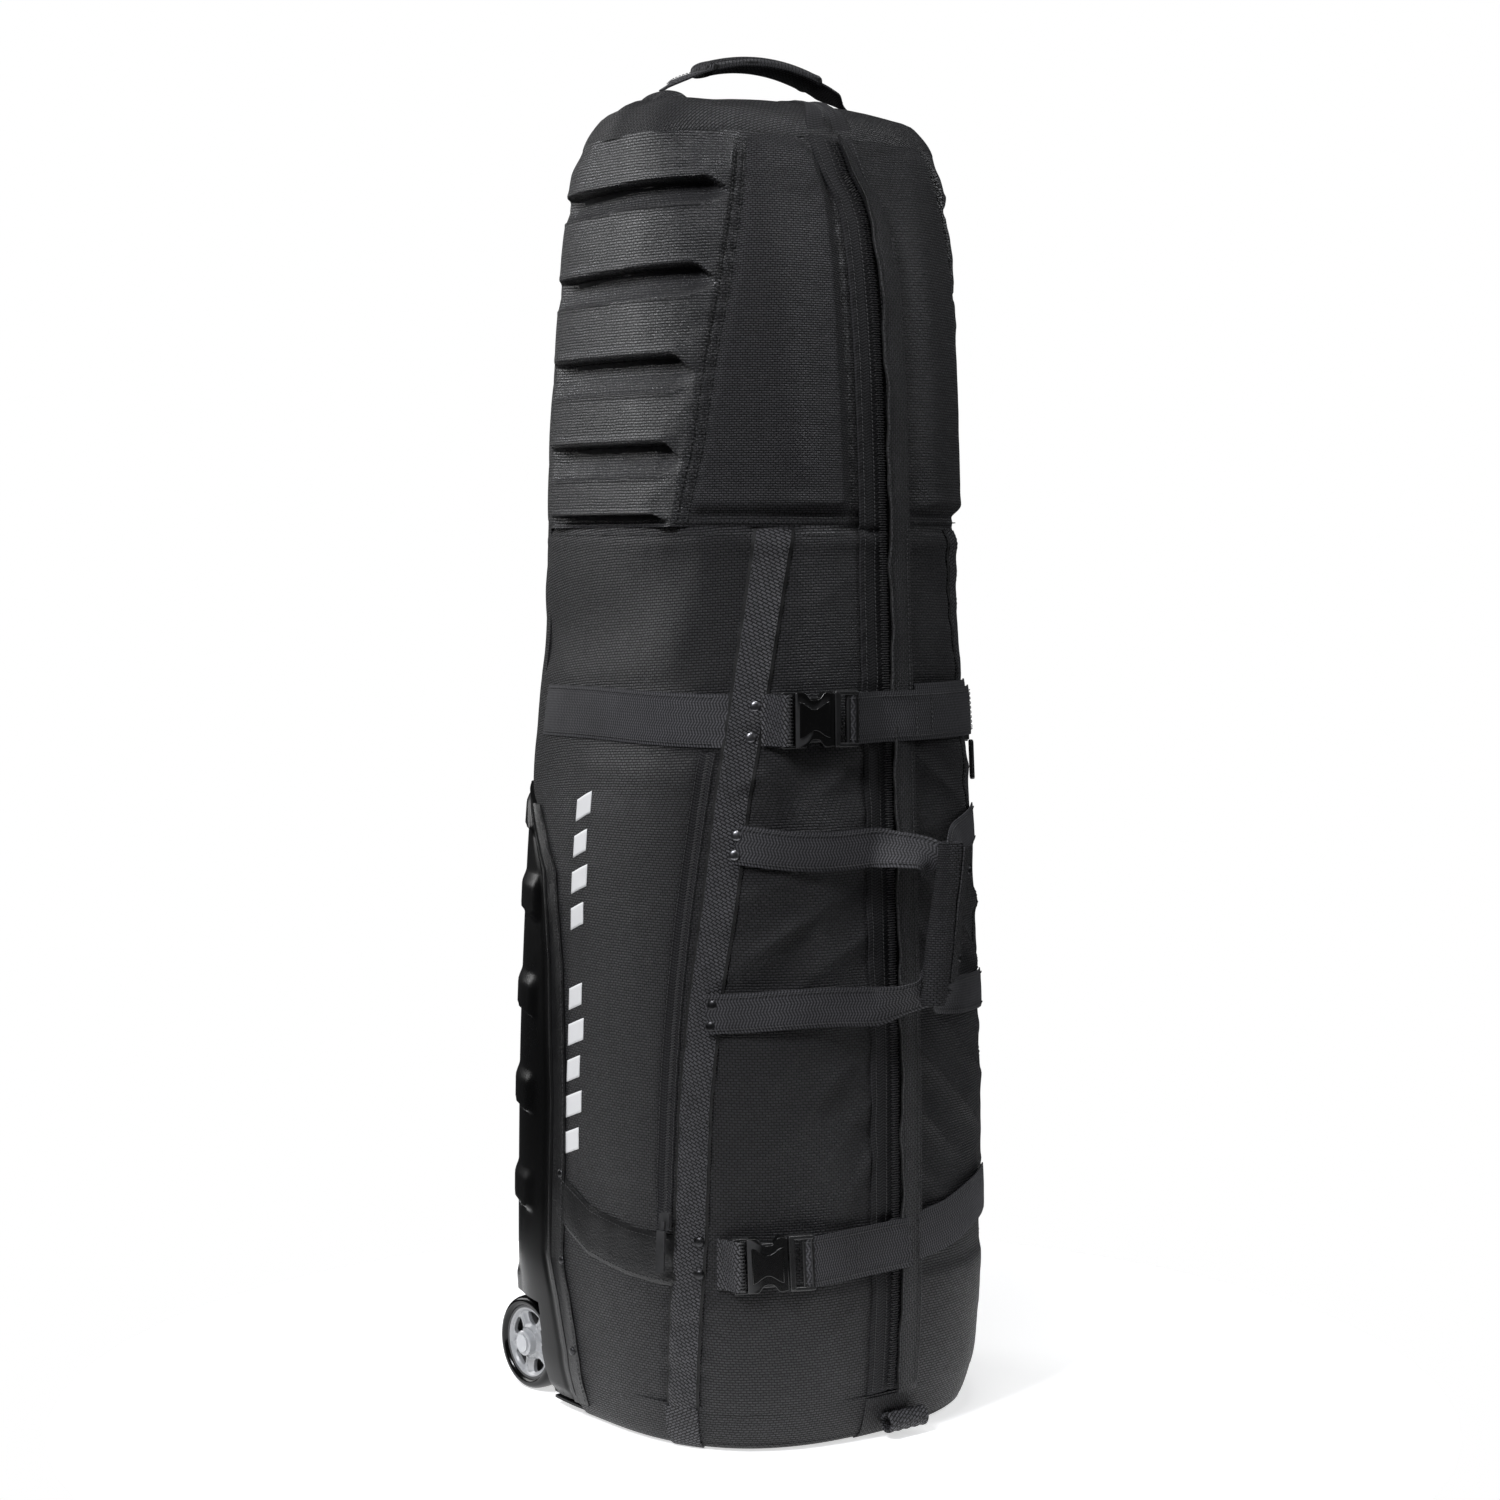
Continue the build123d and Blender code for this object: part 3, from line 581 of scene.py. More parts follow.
# =====================================================================
# camera, light, floor
# =====================================================================
def setup_view():
    az, el = math.radians(-38.4), math.radians(3.9)
    D, tx, tz = 2.9, -0.0031, 0.8496
    right = Vector((math.cos(az), math.sin(az), 0))
    C = Vector((math.sin(az) * D, -math.cos(az) * D, 0)) + right * tx + Vector((0, 0, tz))
    w = Vector((-math.sin(az) * math.cos(el), math.cos(az) * math.cos(el), -math.sin(el)))
    up = right.cross(w)
    cam = bpy.data.cameras.new("camera")
    cam.sensor_width = 36.0
    cam.lens = 36.0 * 2900.0 / 1500.0
    cam.clip_start = 0.05
    cam.clip_end = 60
    o = bpy.data.objects.new("camera", cam)
    bpy.context.collection.objects.link(o)
    R = Matrix((right, up, -w)).transposed()
    o.matrix_world = Matrix.Translation(C) @ R.to_4x4()
    bpy.context.scene.camera = o

    def area(name, loc, target, size, power, color=(1, 1, 1), sy=None):
        L = bpy.data.lights.new(name, "AREA")
        L.shape = "RECTANGLE"
        L.size = size
        L.size_y = sy or size
        L.energy = power
        L.color = color
        q = bpy.data.objects.new(name, L)
        bpy.context.collection.objects.link(q)
        q.location = loc
        q.rotation_euler = (Vector(target) - Vector(loc)).to_track_quat("-Z", "Y").to_euler()
        return q

    area("key", (-2.9, -0.8, 3.5), (0, 0, 0.95), 0.7, 165, (0.95, 0.96, 1.0), 1.5)
    area("fill_front", (1.0, -3.6, 2.2), (0, 0, 0.8), 0.5, 11, (0.97, 0.98, 1.0), 2.2)
    area("rim_right", (2.6, -1.3, 2.3), (0, 0, 0.9), 0.30, 24, (0.94, 0.96, 1.0), 2.4)
    area("top", (-0.3, -0.6, 3.6), (0, 0, 1.0), 0.8, 30)
    area("back", (-1.2, 3.4, 1.8), (0, 0, 0.8), 1.4, 45, (1, 1, 1), 2.2)
    wd = bpy.data.worlds.new("studio")
    bpy.context.scene.world = wd
    wd.use_nodes = True
    nt = wd.node_tree
    nt.nodes.clear()
    o1 = nt.nodes.new("ShaderNodeOutputWorld")
    lp = nt.nodes.new("ShaderNodeLightPath")
    a = nt.nodes.new("ShaderNodeBackground")
    a.inputs[0].default_value = (0.93, 0.95, 1.0, 1)
    a.inputs[1].default_value = 0.035
    b = nt.nodes.new("ShaderNodeBackground")
    b.inputs[0].default_value = (1, 1, 1, 1)
    b.inputs[1].default_value = 1.0
    mx = nt.nodes.new("ShaderNodeMixShader")
    nt.links.new(lp.outputs["Is Camera Ray"], mx.inputs[0])
    nt.links.new(a.outputs[0], mx.inputs[1])
    nt.links.new(b.outputs[0], mx.inputs[2])
    nt.links.new(mx.outputs[0], o1.inputs[0])
    me = bpy.data.meshes.new("floor")
    r = 0.7
    n = 48
    vs = [(r * math.cos(2 * pi * k / n), r * math.sin(2 * pi * k / n), 0) for k in range(n)]
    me.from_pydata(vs, [], [tuple(range(n))])
    fm = bpy.data.materials.new("floor_white")
    fm.use_nodes = True
    bs = fm.node_tree.nodes["Principled BSDF"]
    bs.inputs["Base Color"].default_value = (0.86, 0.86, 0.86, 1)
    bs.inputs["Roughness"].default_value = 0.9
    bs.inputs["Emission Color"].default_value = (1, 1, 1, 1)
    bs.inputs["Emission Strength"].default_value = 0.62
    me.materials.append(fm)
    f = bpy.data.objects.new("floor", me)
    bpy.context.collection.objects.link(f)
    bpy.context.scene.view_settings.view_transform = "Standard"
    bpy.context.scene.view_settings.look = "None"
    bpy.context.scene.view_settings.exposure = 0.0


setup_view()

# =====================================================================
# curves that the panels share
# =====================================================================
def shell_edge(z):
    return -table([12, 66, 118, 158, 314, 450, 537, 600, 620, 640], [98.5, 98.8, 101.6, 105, 104.5, 107.7, 112.5, 124, 131, 134], z)


def trim_l(z):
    return table([0, 30, 220, 338, 439, 521, 620, 670, 852, 874], [-61.5, -61, -58, -57, -54.5, -51.5, -48.5, -46.5, -39.2, -38.2], z)


def trim_r(z):
    return table([0, 30, 220, 338, 439, 521, 620, 670, 852, 874], [-52.5, -52, -49, -48, -45.5, -42, -39, -36.5, -28.2, -27.2], z)


def pzip(z):
    return table([200, 223, 337, 438, 521, 619, 668, 690], [-61.0, -60.9, -59.8, -58.0, -55.6, -52.0, -50.0, -49.2], z)


def seam_ph(z):          # the hood's double-stitched seam
    return table([870, 954, 1028, 1092, 1176, 1245], [-59, -53.2, -50, -46.5, -43.2, -42], z)


def zx(z):
    """x of the main zip's middle line; straight below the hood, leaning left at the top"""
    return table([0, 1160, 1182, 1205, 1230, 1245], [0, 0, -4, -15, -19, -20], z)


def gauss(d, s):
    return np.exp(-(d / s) ** 2)


PITCH = 3.5  # mm of arc per degree, near enough for seam distances
CH = [(1181, 10.0), (1099, 12.0), (1016, 14.5), (936, 13.5), (878, 6.0)]
FLAP_S = {-1: "left_flap", 1: "right_flap"}
SIDE = {-1: "left", 1: "right"}


def mir(P, s):
    if s < 0:
        return P
    Q = P.copy()
    Q[..., 0] *= -1
    return Q


def lower_offset(P, ph, z, s):
    """Cloth relief of the lower wall at left-hand points P."""
    x, y = P[..., 0], P[..., 1]
    o = np.full(P.shape[:-1], -0.6)
    q = P * np.array([1, 1, 0.7])
    o += 1.7 * fbm(q, 95, 5 + s, 3) + 0.5 * fbm(P, 24, 9 + s, 2)
    # pocket puff, with its zip line drawn in
    pz = pzip(z)
    side = (1 - sstep(-3, 1.5, (ph - pz))) * sstep(238, 262, z) * (1 - sstep(640, 668, z)) * sstep(-101, -93, ph)
    o += 3.2 * side
    o -= 2.4 * gauss((ph - pz) * PITCH, 5) * sstep(215, 235, z) * (1 - sstep(660, 672, z))
    o -= 1.2 * gauss((ph - trim_l(z)) * PITCH, 5) + 1.2 * gauss((ph - trim_r(z)) * PITCH, 5)
    o += 1.0 * (sstep(-1, 1, ph - trim_r(z)) * (1 - sstep(-22, -10, ph)))
    for c, amp in ((trim_l(z), 0.55), (trim_r(z), 0.7)):
        o += amp * np.sin(z / 4.2 + 3 * fbm(P, 60, 21)) * gauss((ph - c) * PITCH, 9)
    for zc, h in ((694, 30), (190, 32)):
        o -= 1.6 * (1 - sstep(0.75, 1.25, np.abs(z - zc) / h)) * sstep(-58, -44, ph)
    # long soft folds of the front panel
    m = sstep(-50, -38, ph) * (1 - sstep(-9, -3, ph)) * sstep(60, 130, z) * (1 - sstep(820, 868, z))
    w = (-0.62 * x + 0.79 * z) / 7.2 + 3.2 * fbm(P, 150, 33 + s, 2)
    where = 1.0 * gauss(z - 505, 75) + 0.85 * gauss(z - 645, 38) + 0.55 * gauss(z - 320, 80) + 0.2
    amp = 0.35 + 1.3 * sstep(-0.15, 0.4, fbm(P, 120, 41 + s, 2))
    cr = 1 - np.abs(np.sin(w * 0.5)) ** 0.8
    o += m * amp * where * (5.4 * cr - 2.2)
    w2 = (-0.45 * x + 0.87 * z) / 26 + 2.6 * fbm(P, 120, 35 + s, 2)
    o += m * 2.2 * np.sin(w2) * sstep(-0.2, 0.5, fbm(P, 200, 43 + s, 2))
    m2 = (1 - sstep(-62, -52, ph)) * sstep(720, 740, z) * (1 - sstep(840, 870, z))
    o += m2 * 2.0 * np.sin((z + 0.35 * y) / 22 + 2 * fbm(P, 110, 51, 2))
    o -= 2.6 * gauss(874 - z, 6)
    o += 1.6 * gauss(z - 860, 9)
    o -= 1.0 * sstep(-34, -26, x)
    if s > 0:
        dl = (ph + 34 + 0.00060 * (874 - z) ** 2) * PITCH
        o -= 1.6 * gauss(dl, 3.5) * sstep(760, 790, z)
        o += 1.2 * gauss(dl - 8, 6) * sstep(760, 790, z)
    return o


def soft(ob):
    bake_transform(ob)
    return ob


def wall_lower(s):
    rows, cols = 240, 150
    z = np.linspace(40, 874, rows)[:, None] * np.ones((1, cols))
    a = np.where(z[:, :1] < 640, shell_edge(z[:, :1]) + 1.2, -132.0)
    a = np.minimum(a, -98.0)
    b = ph_x(-2.2, z[:, :1])
    t = np.linspace(0, 1, cols)[None]
    ph = a + (b - a) * t
    P, N = surf(ph, z), normals(ph, z)
    o = lower_offset(P, ph, z, s)
    P, N = mir(P, s), mir(N, s)
    ob = slab(SIDE[s] + "_wall_lower", P, N, o, o * 0.15 - 7.6, [M_FAB, M_LINING], flip=(s > 0), lining=True)
    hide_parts(SIDE[s] + "_side_panel", SIDE[s] + "_front_panel", SIDE[s] + "_pocket")
    return soft(ob)


def top_swell(P):
    """The shoulders stand out a little at both sides of the top."""
    x, y, z = P[..., 0], P[..., 1], P[..., 2]
    a = np.abs(np.degrees(np.arctan2(x, -y)))
    b = gauss(a - 78, 34)
    return (5.0 + 5.0 * gauss(a - 62, 20)) * b * sstep(1190, 1242, z) * (1 - sstep(1264, 1283, z))


def hood_offset(P, ph, z, s):
    sp = seam_ph(z)
    o = np.full(P.shape[:-1], -0.6)
    o += 1.1 * fbm(P, 80, 61 + s, 3) + 0.35 * fbm(P, 20, 65 + s, 2)
    d = (ph - sp) * PITCH
    # ribbed side
    side = (1 - sstep(-9, -1.5, d))
    rear = sstep(-124.5, -119, ph)
    o += side * 6.4
    crown = np.zeros_like(o)
    edges = [1246] + [c for c, h in CH] + [868]
    for k in range(len(edges) - 1):
        zc = (edges[k] + edges[k + 1]) / 2
        hh = (edges[k] - edges[k + 1]) / 2
        tt = np.clip(1 - ((z - zc) / hh) ** 2, 0, 1)
        crown = np.maximum(crown, tt ** 0.6)
    o += side * 2.4 * crown
    for k, (zc0, h0) in enumerate(CH):
        end = sp - 2.2 - (1.5 if k > 1 else 0)
        tail = sstep(0, 7.5, (end - ph) * 1.0)            # 0 at the seam end, 1 well inside
        zc = zc0 + 3.0 * sstep(-110, -60, ph) * (1 if k < 2 else 0) - h0 * 0.25 * (1 - tail)
        h = 1.2 * h0 * (0.35 + 0.65 * tail) + 2.5 * sstep(-70, -120, ph) * 0
        t = (z - zc) / h
        slope = np.clip((t + 1) / 1.72, 0, 1) ** 0.6
        over = 1 - sstep(0.80, 1.06, t)
        cut = slope * over * (t > -1)
        depth = 16.0 * tail ** 0.6 * (ph < end) * sstep(-124, -111, ph)
        o -= side * cut * depth
        lip = gauss((t - 1.22), 0.26) * 1.7 + gauss((t + 1.05), 0.12) * 1.1
        o += side * lip * tail * sstep(-124, -113, ph)
    o = o * (0.35 + 0.65 * rear) + (1 - rear) * 0.4
    # pulled folds near the front end of the ribs
    o += side * 0.8 * np.sin(z / 9 + 2 * fbm(P, 40, 71)) * gauss((d + 26), 16)
    # the seam and its two rows of stitches
    o += 3.0 * gauss(d - 1, 5.5)
    o -= 1.5 * gauss(d + 5, 2.6) + 1.5 * gauss(d - 4, 2.6)
    o += 0.9 * gauss(d, 4.0)
    o += 0.5 * np.sin(z / 3.4) * gauss(d, 12)
    tp = sstep(1214, 1240, z)
    o = o * (1 - tp) + (-0.6 + 1.5 * side + top_swell(P)) * tp
    return o, d


def wall_hood(s):
    rows, cols = 210, 190
    z = np.linspace(873.5, 1241, rows)[:, None] * np.ones((1, cols))
    a = np.full((rows, 1), -127.0)
    b = ph_x(-2.2 - s * zx(z[:, :1]), z[:, :1])
    t = np.linspace(0, 1, cols)[None]
    ph = a + (b - a) * t
    P, N = surf(ph, z), normals(ph, z)
    x = P[..., 0]
    o, d = hood_offset(P, ph, z, s)
    # quilted front pad
    xe = table([874, 1050, 1180, 1215, 1241], [-38, -40, -37, -42, -60], z)
    e1 = sstep(5, 17, d)
    e2 = 1 - sstep(-12, 0, x - xe)
    e3 = sstep(884, 896, z) * (1 - sstep(1222, 1240, z))
    if s > 0:
        e2 = 1 - sstep(-34, 2, x - xe)
    pad = e1 * e2 * e3
    o += 6.2 * pad ** 0.8
    o += 1.0 * gauss(z - 897, 7) * e1 * e2 - 1.6 * gauss(z - 884, 4) * sstep(3, 8, d)
    o -= (1.2 if s < 0 else 0.0) * gauss(x - xe - 3, 3) * sstep(884, 890, z)
    o -= (2.4 if s < 0 else 1.2) * gauss(z - 873.5, 5)
    o += pad * 0.9 * fbm(P, 60, 81 + s, 2)
    o -= 1.0 * sstep(-33, -25, x)
    if s > 0:
        o += 1.2 * np.sin((0.5 * x + z) / 46) * (1 - pad) * sstep(0, 12, d)
    P, N = mir(P, s), mir(N, s)
    ob = slab(SIDE[s] + "_wall_hood", P, N, o, -7.6, [M_FAB, M_LINING], flip=(s > 0), lining=True)
    me = ob.data
    # other cloths by area: 0 wall, 1 lining, 2 rib cloth, 3 pad cloth
    me.materials.append(M_RIB)
    me.materials.append(M_PAD)
    r, c = rows, cols
    nq = (r - 1) * (c - 1)
    mi = np.zeros(len(me.polygons), np.int32)
    me.polygons.foreach_get("material_index", mi)
    dq = d[:-1, :-1].reshape(-1)
    pq = pad[:-1, :-1].reshape(-1)
    sub = mi[:nq]
    sub[dq < -4] = 2
    if s < 0:
        sub[pq > 0.02] = 3
    mi[:nq] = sub
    me.polygons.foreach_set("material_index", mi)
    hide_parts(SIDE[s] + "_hood_panel", SIDE[s] + "_rib_pads", SIDE[s] + "_front_pad")
    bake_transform(ob)
    return ob


for s in (-1, 1):
    wall_lower(s)
    wall_hood(s)


def rear_wall():
    rows, cols = 200, 170
    z = np.linspace(600, 1241, rows)[:, None] * np.ones((1, cols))
    ph = np.linspace(126.5, 233.5, cols)[None] * np.ones((rows, 1))
    P, N = surf(ph, z), normals(ph, z)
    o = np.full(P.shape[:2], -0.8) - 4.6 * (1 - sstep(606, 640, z))
    o += 1.5 * fbm(P, 110, 91, 3) + 0.4 * fbm(P, 25, 95, 2)
    # padded channels
    for pc in (150, 180, 210):
        o -= 2.6 * gauss((ph - pc) * PITCH, 4) * sstep(660, 690, z) * (1 - sstep(1190, 1215, z))
    for zc in (690, 860, 1030, 1190):
        o -= 2.6 * gauss(z - zc, 4) * sstep(136, 142, ph) * (1 - sstep(218, 224, ph))
    o += 3.0 * sstep(136, 142, ph) * (1 - sstep(218, 224, ph)) * sstep(645, 665, z) * (1 - sstep(1200, 1222, z))
    o = o * (1 - sstep(1215, 1240, z)) - 0.6 * sstep(1215, 1240, z)
    ob = slab("rear_wall", P, N, o, -7.6, [M_FAB, M_LINING], lining=True, body="bag")
    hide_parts("rear_hood_panel")


rear_wall()


def ring_grid(zs, n, scale=None, ph0=-180, ph1=180):
    ph = np.linspace(ph0, ph1, n)
    rows = []
    for k, z in enumerate(zs):
        p = surf(ph, np.full(n, z))
        if scale is not None:
            p[:, :2] *= scale[k]
        rows.append(p)
    return np.stack(rows)


def top_dome():
    n = 241
    zs = list(np.linspace(1239.5, 1266, 12)) + [1270, 1274, 1277, 1280, 1282.5, 1285] + [1285] * 9
    sc = [1.0] * 18 + list(np.linspace(0.86, 0.03, 9))
    P = ring_grid(zs, n, sc)
    r = np.hypot(P[..., 0], P[..., 1])
    P[18:, :, 2] += 1.0 * (1 - (r[18:] / 52).clip(0, 1) ** 2)
    # normals from the grid
    du = np.gradient(P, axis=1)
    dv = np.gradient(P, axis=0)
    N = np.cross(du, dv)
    N /= np.linalg.norm(N, axis=-1, keepdims=True) + 1e-9
    N[..., :][N[..., 2] < 0] *= -1
    N[:, 0] = N[:, -1] = (N[:, 1] + N[:, -2]) / 2
    N /= np.linalg.norm(N, axis=-1, keepdims=True) + 1e-9
    x, y, z = P[..., 0], P[..., 1], P[..., 2]
    o = 1.4 * fbm(P, 70, 101, 3) + 0.3 * fbm(P, 20, 103, 2)
    o *= sstep(1239, 1256, z)
    sd = 1 - sstep(-9, -1.5, (-np.abs(np.degrees(np.arctan2(x, -y))) + 42.3) * PITCH)
    o += -0.6 + top_swell(P) + 1.5 * sd * (1 - sstep(1240, 1262, z))
    # gathers running out from the handle's two ends
    for sx in (-1, 1):
        dx, dy = x - sx * 118, y + 6
        dist = np.hypot(dx, dy)
        ang = np.arctan2(dy, dx)
        o += 3.2 * np.sin(ang * 5 + 1.3 * sx) * np.exp(-dist / 46) * sstep(6, 22, dist)
        o += 3.0 * np.exp(-((dist - 10) / 26) ** 2)
    # the seat of the zip
    o -= 1.0 * gauss(x, 16) * (np.abs(y) < 118)
    o = np.minimum(o, 12.0)
    m0 = (1 - sstep(14, 24, np.abs(x))) * (np.abs(y) < 122)
    o = o * (1 - m0) + np.minimum(o, -0.4) * m0
    o[:, 0] = o[:, -1] = (o[:, 0] + o[:, -1]) / 2
    L = np.cumsum(np.linalg.norm(np.diff(P[::-1], axis=0, prepend=P[-1:]), axis=-1), axis=0)[::-1]
    rr = np.maximum(r, 1e-3)
    uv = np.stack([x / rr * L, y / rr * L], -1)
    ob = slab("top_cover", P, N, o, o * 0.3 - 7.0, [M_FAB, M_LINING], uv=uv, body="bag", lining=True)
    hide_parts("top_panel")


top_dome()


def base_skirt():
    n = 200
    ph = np.linspace(-98.5, 98.5, n)
    zs = [45.5, 43, 36, 28, 20, 13, 8, 4.5, 2.2, 0.9, 0.4]
    ins = [-0.6, -0.5, -0.2, 0.1, 0.2, -0.3, -1.6, -3.6, -6.5, -10, -14]
    rows = []
    for z, i in zip(zs, ins):
        zz = np.full(n, float(z))
        p = surf(ph, zz)
        q = 0.9 * fbm(p, 60, 111, 2) * sstep(0, 20, zz)
        nn = normals(ph, zz)
        nn[:, 2] = 0
        nn /= np.linalg.norm(nn, axis=1, keepdims=True)
        rows.append(p + nn * (i + q)[:, None])
    # flat underside to the middle
    last = rows[-1]
    for f in (0.8, 0.5, 0.2, 0.02):
        p = last.copy()
        p[:, 0] *= f
        p[:, 1] = 30 + (p[:, 1] - 30) * f
        p[:, 2] = 0.4
        rows.append(p)
    P = np.stack(rows)
    N = np.cross(np.gradient(P, axis=1), np.gradient(P, axis=0))
    N /= np.linalg.norm(N, axis=-1, keepdims=True) + 1e-9
    flip = (N[3, n // 2, 1] > 0)
    if flip:
        N = -N
    ob = slab("base_skirt", P, N, 0.0, -3.0, [M_FAB, M_LINING], flip=not flip, body="bag", lining=True)
    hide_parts("base_tray")


base_skirt()

# =====================================================================
# bands, trims and zips that lie on the walls
# =====================================================================
def on_wall(ph, z, s, lift=0.0):
    """Points and normals on the displaced lower wall (s = -1 left, 1 right)."""
    ph, z = np.broadcast_arrays(np.asarray(ph, float), np.asarray(z, float))
    P, N = surf(ph, z), normals(ph, z)
    o = lower_offset(P, ph, z, s)
    return mir(P + N * (o + lift)[..., None], s), mir(N, s)


def on_hood(ph, z, s, lift=0.0):
    ph, z = np.broadcast_arrays(np.asarray(ph, float), np.asarray(z, float))
    P, N = surf(ph, z), normals(ph, z)
    o, d = hood_offset(P, ph, z, s)
    return mir(P + N * (o + lift)[..., None], s), mir(N, s)


def strip_uv(P, along=0):
    r, c = P.shape[:2]
    if along == 0:      # rows run along the strap
        d = np.concatenate([[0], np.cumsum(np.linalg.norm(np.diff(P[:, c // 2], axis=0), axis=1))])
        w = np.concatenate([[0], np.cumsum(np.linalg.norm(np.diff(P[r // 2], axis=0), axis=1))])
        return np.stack([np.broadcast_to(d[:, None], (r, c)), np.broadcast_to(w[None], (r, c))], -1)
    d = np.concatenate([[0], np.cumsum(np.linalg.norm(np.diff(P[r // 2], axis=0), axis=1))])
    w = np.concatenate([[0], np.cumsum(np.linalg.norm(np.diff(P[:, c // 2], axis=0), axis=1))])
    return np.stack([np.broadcast_to(d[None], (r, c)), np.broadcast_to(w[:, None], (r, c))], -1)


def stitches(name, runs, s=None, body=None, slot=None, mat=None, **kw):
    parts = []
    for P, N in runs:
        parts += stitch_run(P, N, **kw)
    V, F = merge(parts)
    ob = make(name, V, F, mat or M_THREAD, body=body)
    if s is not None:
        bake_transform(ob)
    return ob


THR = {-1: [], 1: []}     # stitch runs on the two soft walls


def painted_edge_shade(ob, rows, cols):
    """a painted shadow line down both edges of the tape, where it meets the wall"""
    me = ob.data
    me.materials.append(M_PAINTED_SHADE)
    k = len(me.materials) - 1
    mi = np.zeros(len(me.polygons), np.int32)
    me.polygons.foreach_get("material_index", mi)
    q = mi[:(rows - 1) * (cols - 1)].reshape(rows - 1, cols - 1)
    q[:, 0] = k
    q[:, -1] = k
    me.polygons.foreach_set("material_index", mi)


def trims(s):
    n = 260
    z = np.linspace(43, 871, n)[:, None]
    t = np.linspace(0, 1, 13)[None]
    ph = trim_l(z) + (trim_r(z) - trim_l(z)) * t
    zz = z * np.ones_like(t)
    P, N = on_wall(ph, zz, s)
    prof = 2.5 - 1.0 * np.abs(2 * t - 1) ** 8
    e = 0.35 * np.sin(zz / 3.3 + 4 * t) * (np.abs(2 * t - 1) ** 3) + 0.8 * np.sin(zz / 7.2 + 2 * fbm(P, 70, 117)) * (1 - sstep(380, 620, zz))
    ob = slab(SIDE[s] + "_trim", P, N, prof + e, -0.6, [M_WEB2], uv=strip_uv(P, 0), flip=(s > 0))
    # painted shadow line down each edge of the trim
    painted_edge_shade(ob, n, 13)
    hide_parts(SIDE[s] + "_trim_webbing")
    soft(ob)
    for f in (0.09, 0.91):
        z1 = np.linspace(46, 868, 300)
        p = trim_l(z1) + (trim_r(z1) - trim_l(z1)) * f
        THR[s].append(on_wall(p, z1, s, 1.85))


def bands(s):
    # upper webbing band round the side
    n = 90
    t = np.linspace(0, 1, 11)[:, None]
    z = 669 + 50 * t
    ph0, ph1 = -121.0 - 1.0 * (1 - t), trim_l(z) + 1.0
    ph = ph0 + (ph1 - ph0) * np.linspace(0, 1, n)[None]
    zz = z * np.ones((1, n)) + 1.2 * np.sin(np.linspace(0, 5, n))[None]
    P, N = on_wall(ph, zz, s)
    out = 1.6 - 0.4 * np.abs(2 * t - 1) ** 6 + 0.25 * fbm(P, 18, 131)
    ob = slab(SIDE[s] + "_upper_band", P, N, out, -0.6, [M_WEB], uv=strip_uv(P, 1), flip=(s > 0))
    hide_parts("upper_bands")
    soft(ob)
    for f in (0.07, 0.93):
        z1 = 669 + 50 * f + 0 * np.linspace(0, 1, n)
        THR[s].append(on_wall(np.linspace(-120.6, -48, n), z1 + 1.2 * np.sin(np.linspace(0, 5, n)), s, 1.55))
    # lower leatherette band
    t = np.linspace(0, 1, 13)[:, None]
    ph = np.linspace(-103.2, -57.2, n)[None] * np.ones_like(t)
    zc = table([-104, -99, -87.8, -71.5, -58], [226, 214, 196, 187, 184], ph)
    zz = zc - 24 + 48 * t
    P, N = on_wall(ph, zz, s)
    out = 2.1 - 1.2 * np.abs(2 * t - 1) ** 8 + 0.35 * fbm(P, 30, 133)
    ob = slab(SIDE[s] + "_lower_band", P, N, out, -0.6, [M_BIND], uv=strip_uv(P, 1), flip=(s > 0))
    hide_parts("lower_bands")
    soft(ob)
    for f in (0.09, 0.91):
        pp = np.linspace(-102.5, -58, 160)
        z1 = table([-104, -99, -87.8, -71.5, -58], [226, 214, 196, 187, 184], pp) - 24 + 48 * f
        THR[s].append(on_wall(pp, z1, s, 1.8))


def coil_zip(path, N, w, pitch=1.55, r=0.62, lift=0.8):
    """Two rows of meshed coil links across a zip line."""
    P, N = np.asarray(path), np.asarray(N)
    d = np.concatenate([[0], np.cumsum(np.linalg.norm(np.diff(P, axis=0), axis=1))])
    k = int(d[-1] / pitch)
    q = (np.arange(k) + 0.5) * pitch
    f = lambda a: np.stack([np.interp(a, d, P[:, j]) for j in range(3)], -1)
    g = lambda a: np.stack([np.interp(a, d, N[:, j]) for j in range(3)], -1)
    C, M = f(q), g(q)
    T = f(q + 0.5) - f(q - 0.5)
    T /= np.linalg.norm(T, axis=1, keepdims=True) + 1e-9
    X = np.cross(T, M)
    X /= np.linalg.norm(X, axis=1, keepdims=True) + 1e-9
    a = np.array([-1.0, -0.62, 0.0, 0.62, 1.0])
    h = np.array([0.1, 0.8, 1.0, 0.8, 0.1])
    V, F = [], []
    seg = 5
    ang = np.linspace(0, 2 * pi, seg, endpoint=False)
    for i in range(k):
        side = 1 if i % 2 else -1
        b = len(V) * 1
        for j in range(5):
            c = C[i] + X[i] * (a[j] * w / 2 + side * w * 0.14) + M[i] * (lift * h[j])
            for an in ang:
                V.append(c + r * (math.cos(an) * T[i] * 0.62 + math.sin(an) * M[i]))
        for j in range(4):
            for e in range(seg):
                e2 = (e + 1) % seg
                F.append((b + j * seg + e, b + j * seg + e2, b + (j + 1) * seg + e2, b + (j + 1) * seg + e))
    return np.array(V), F


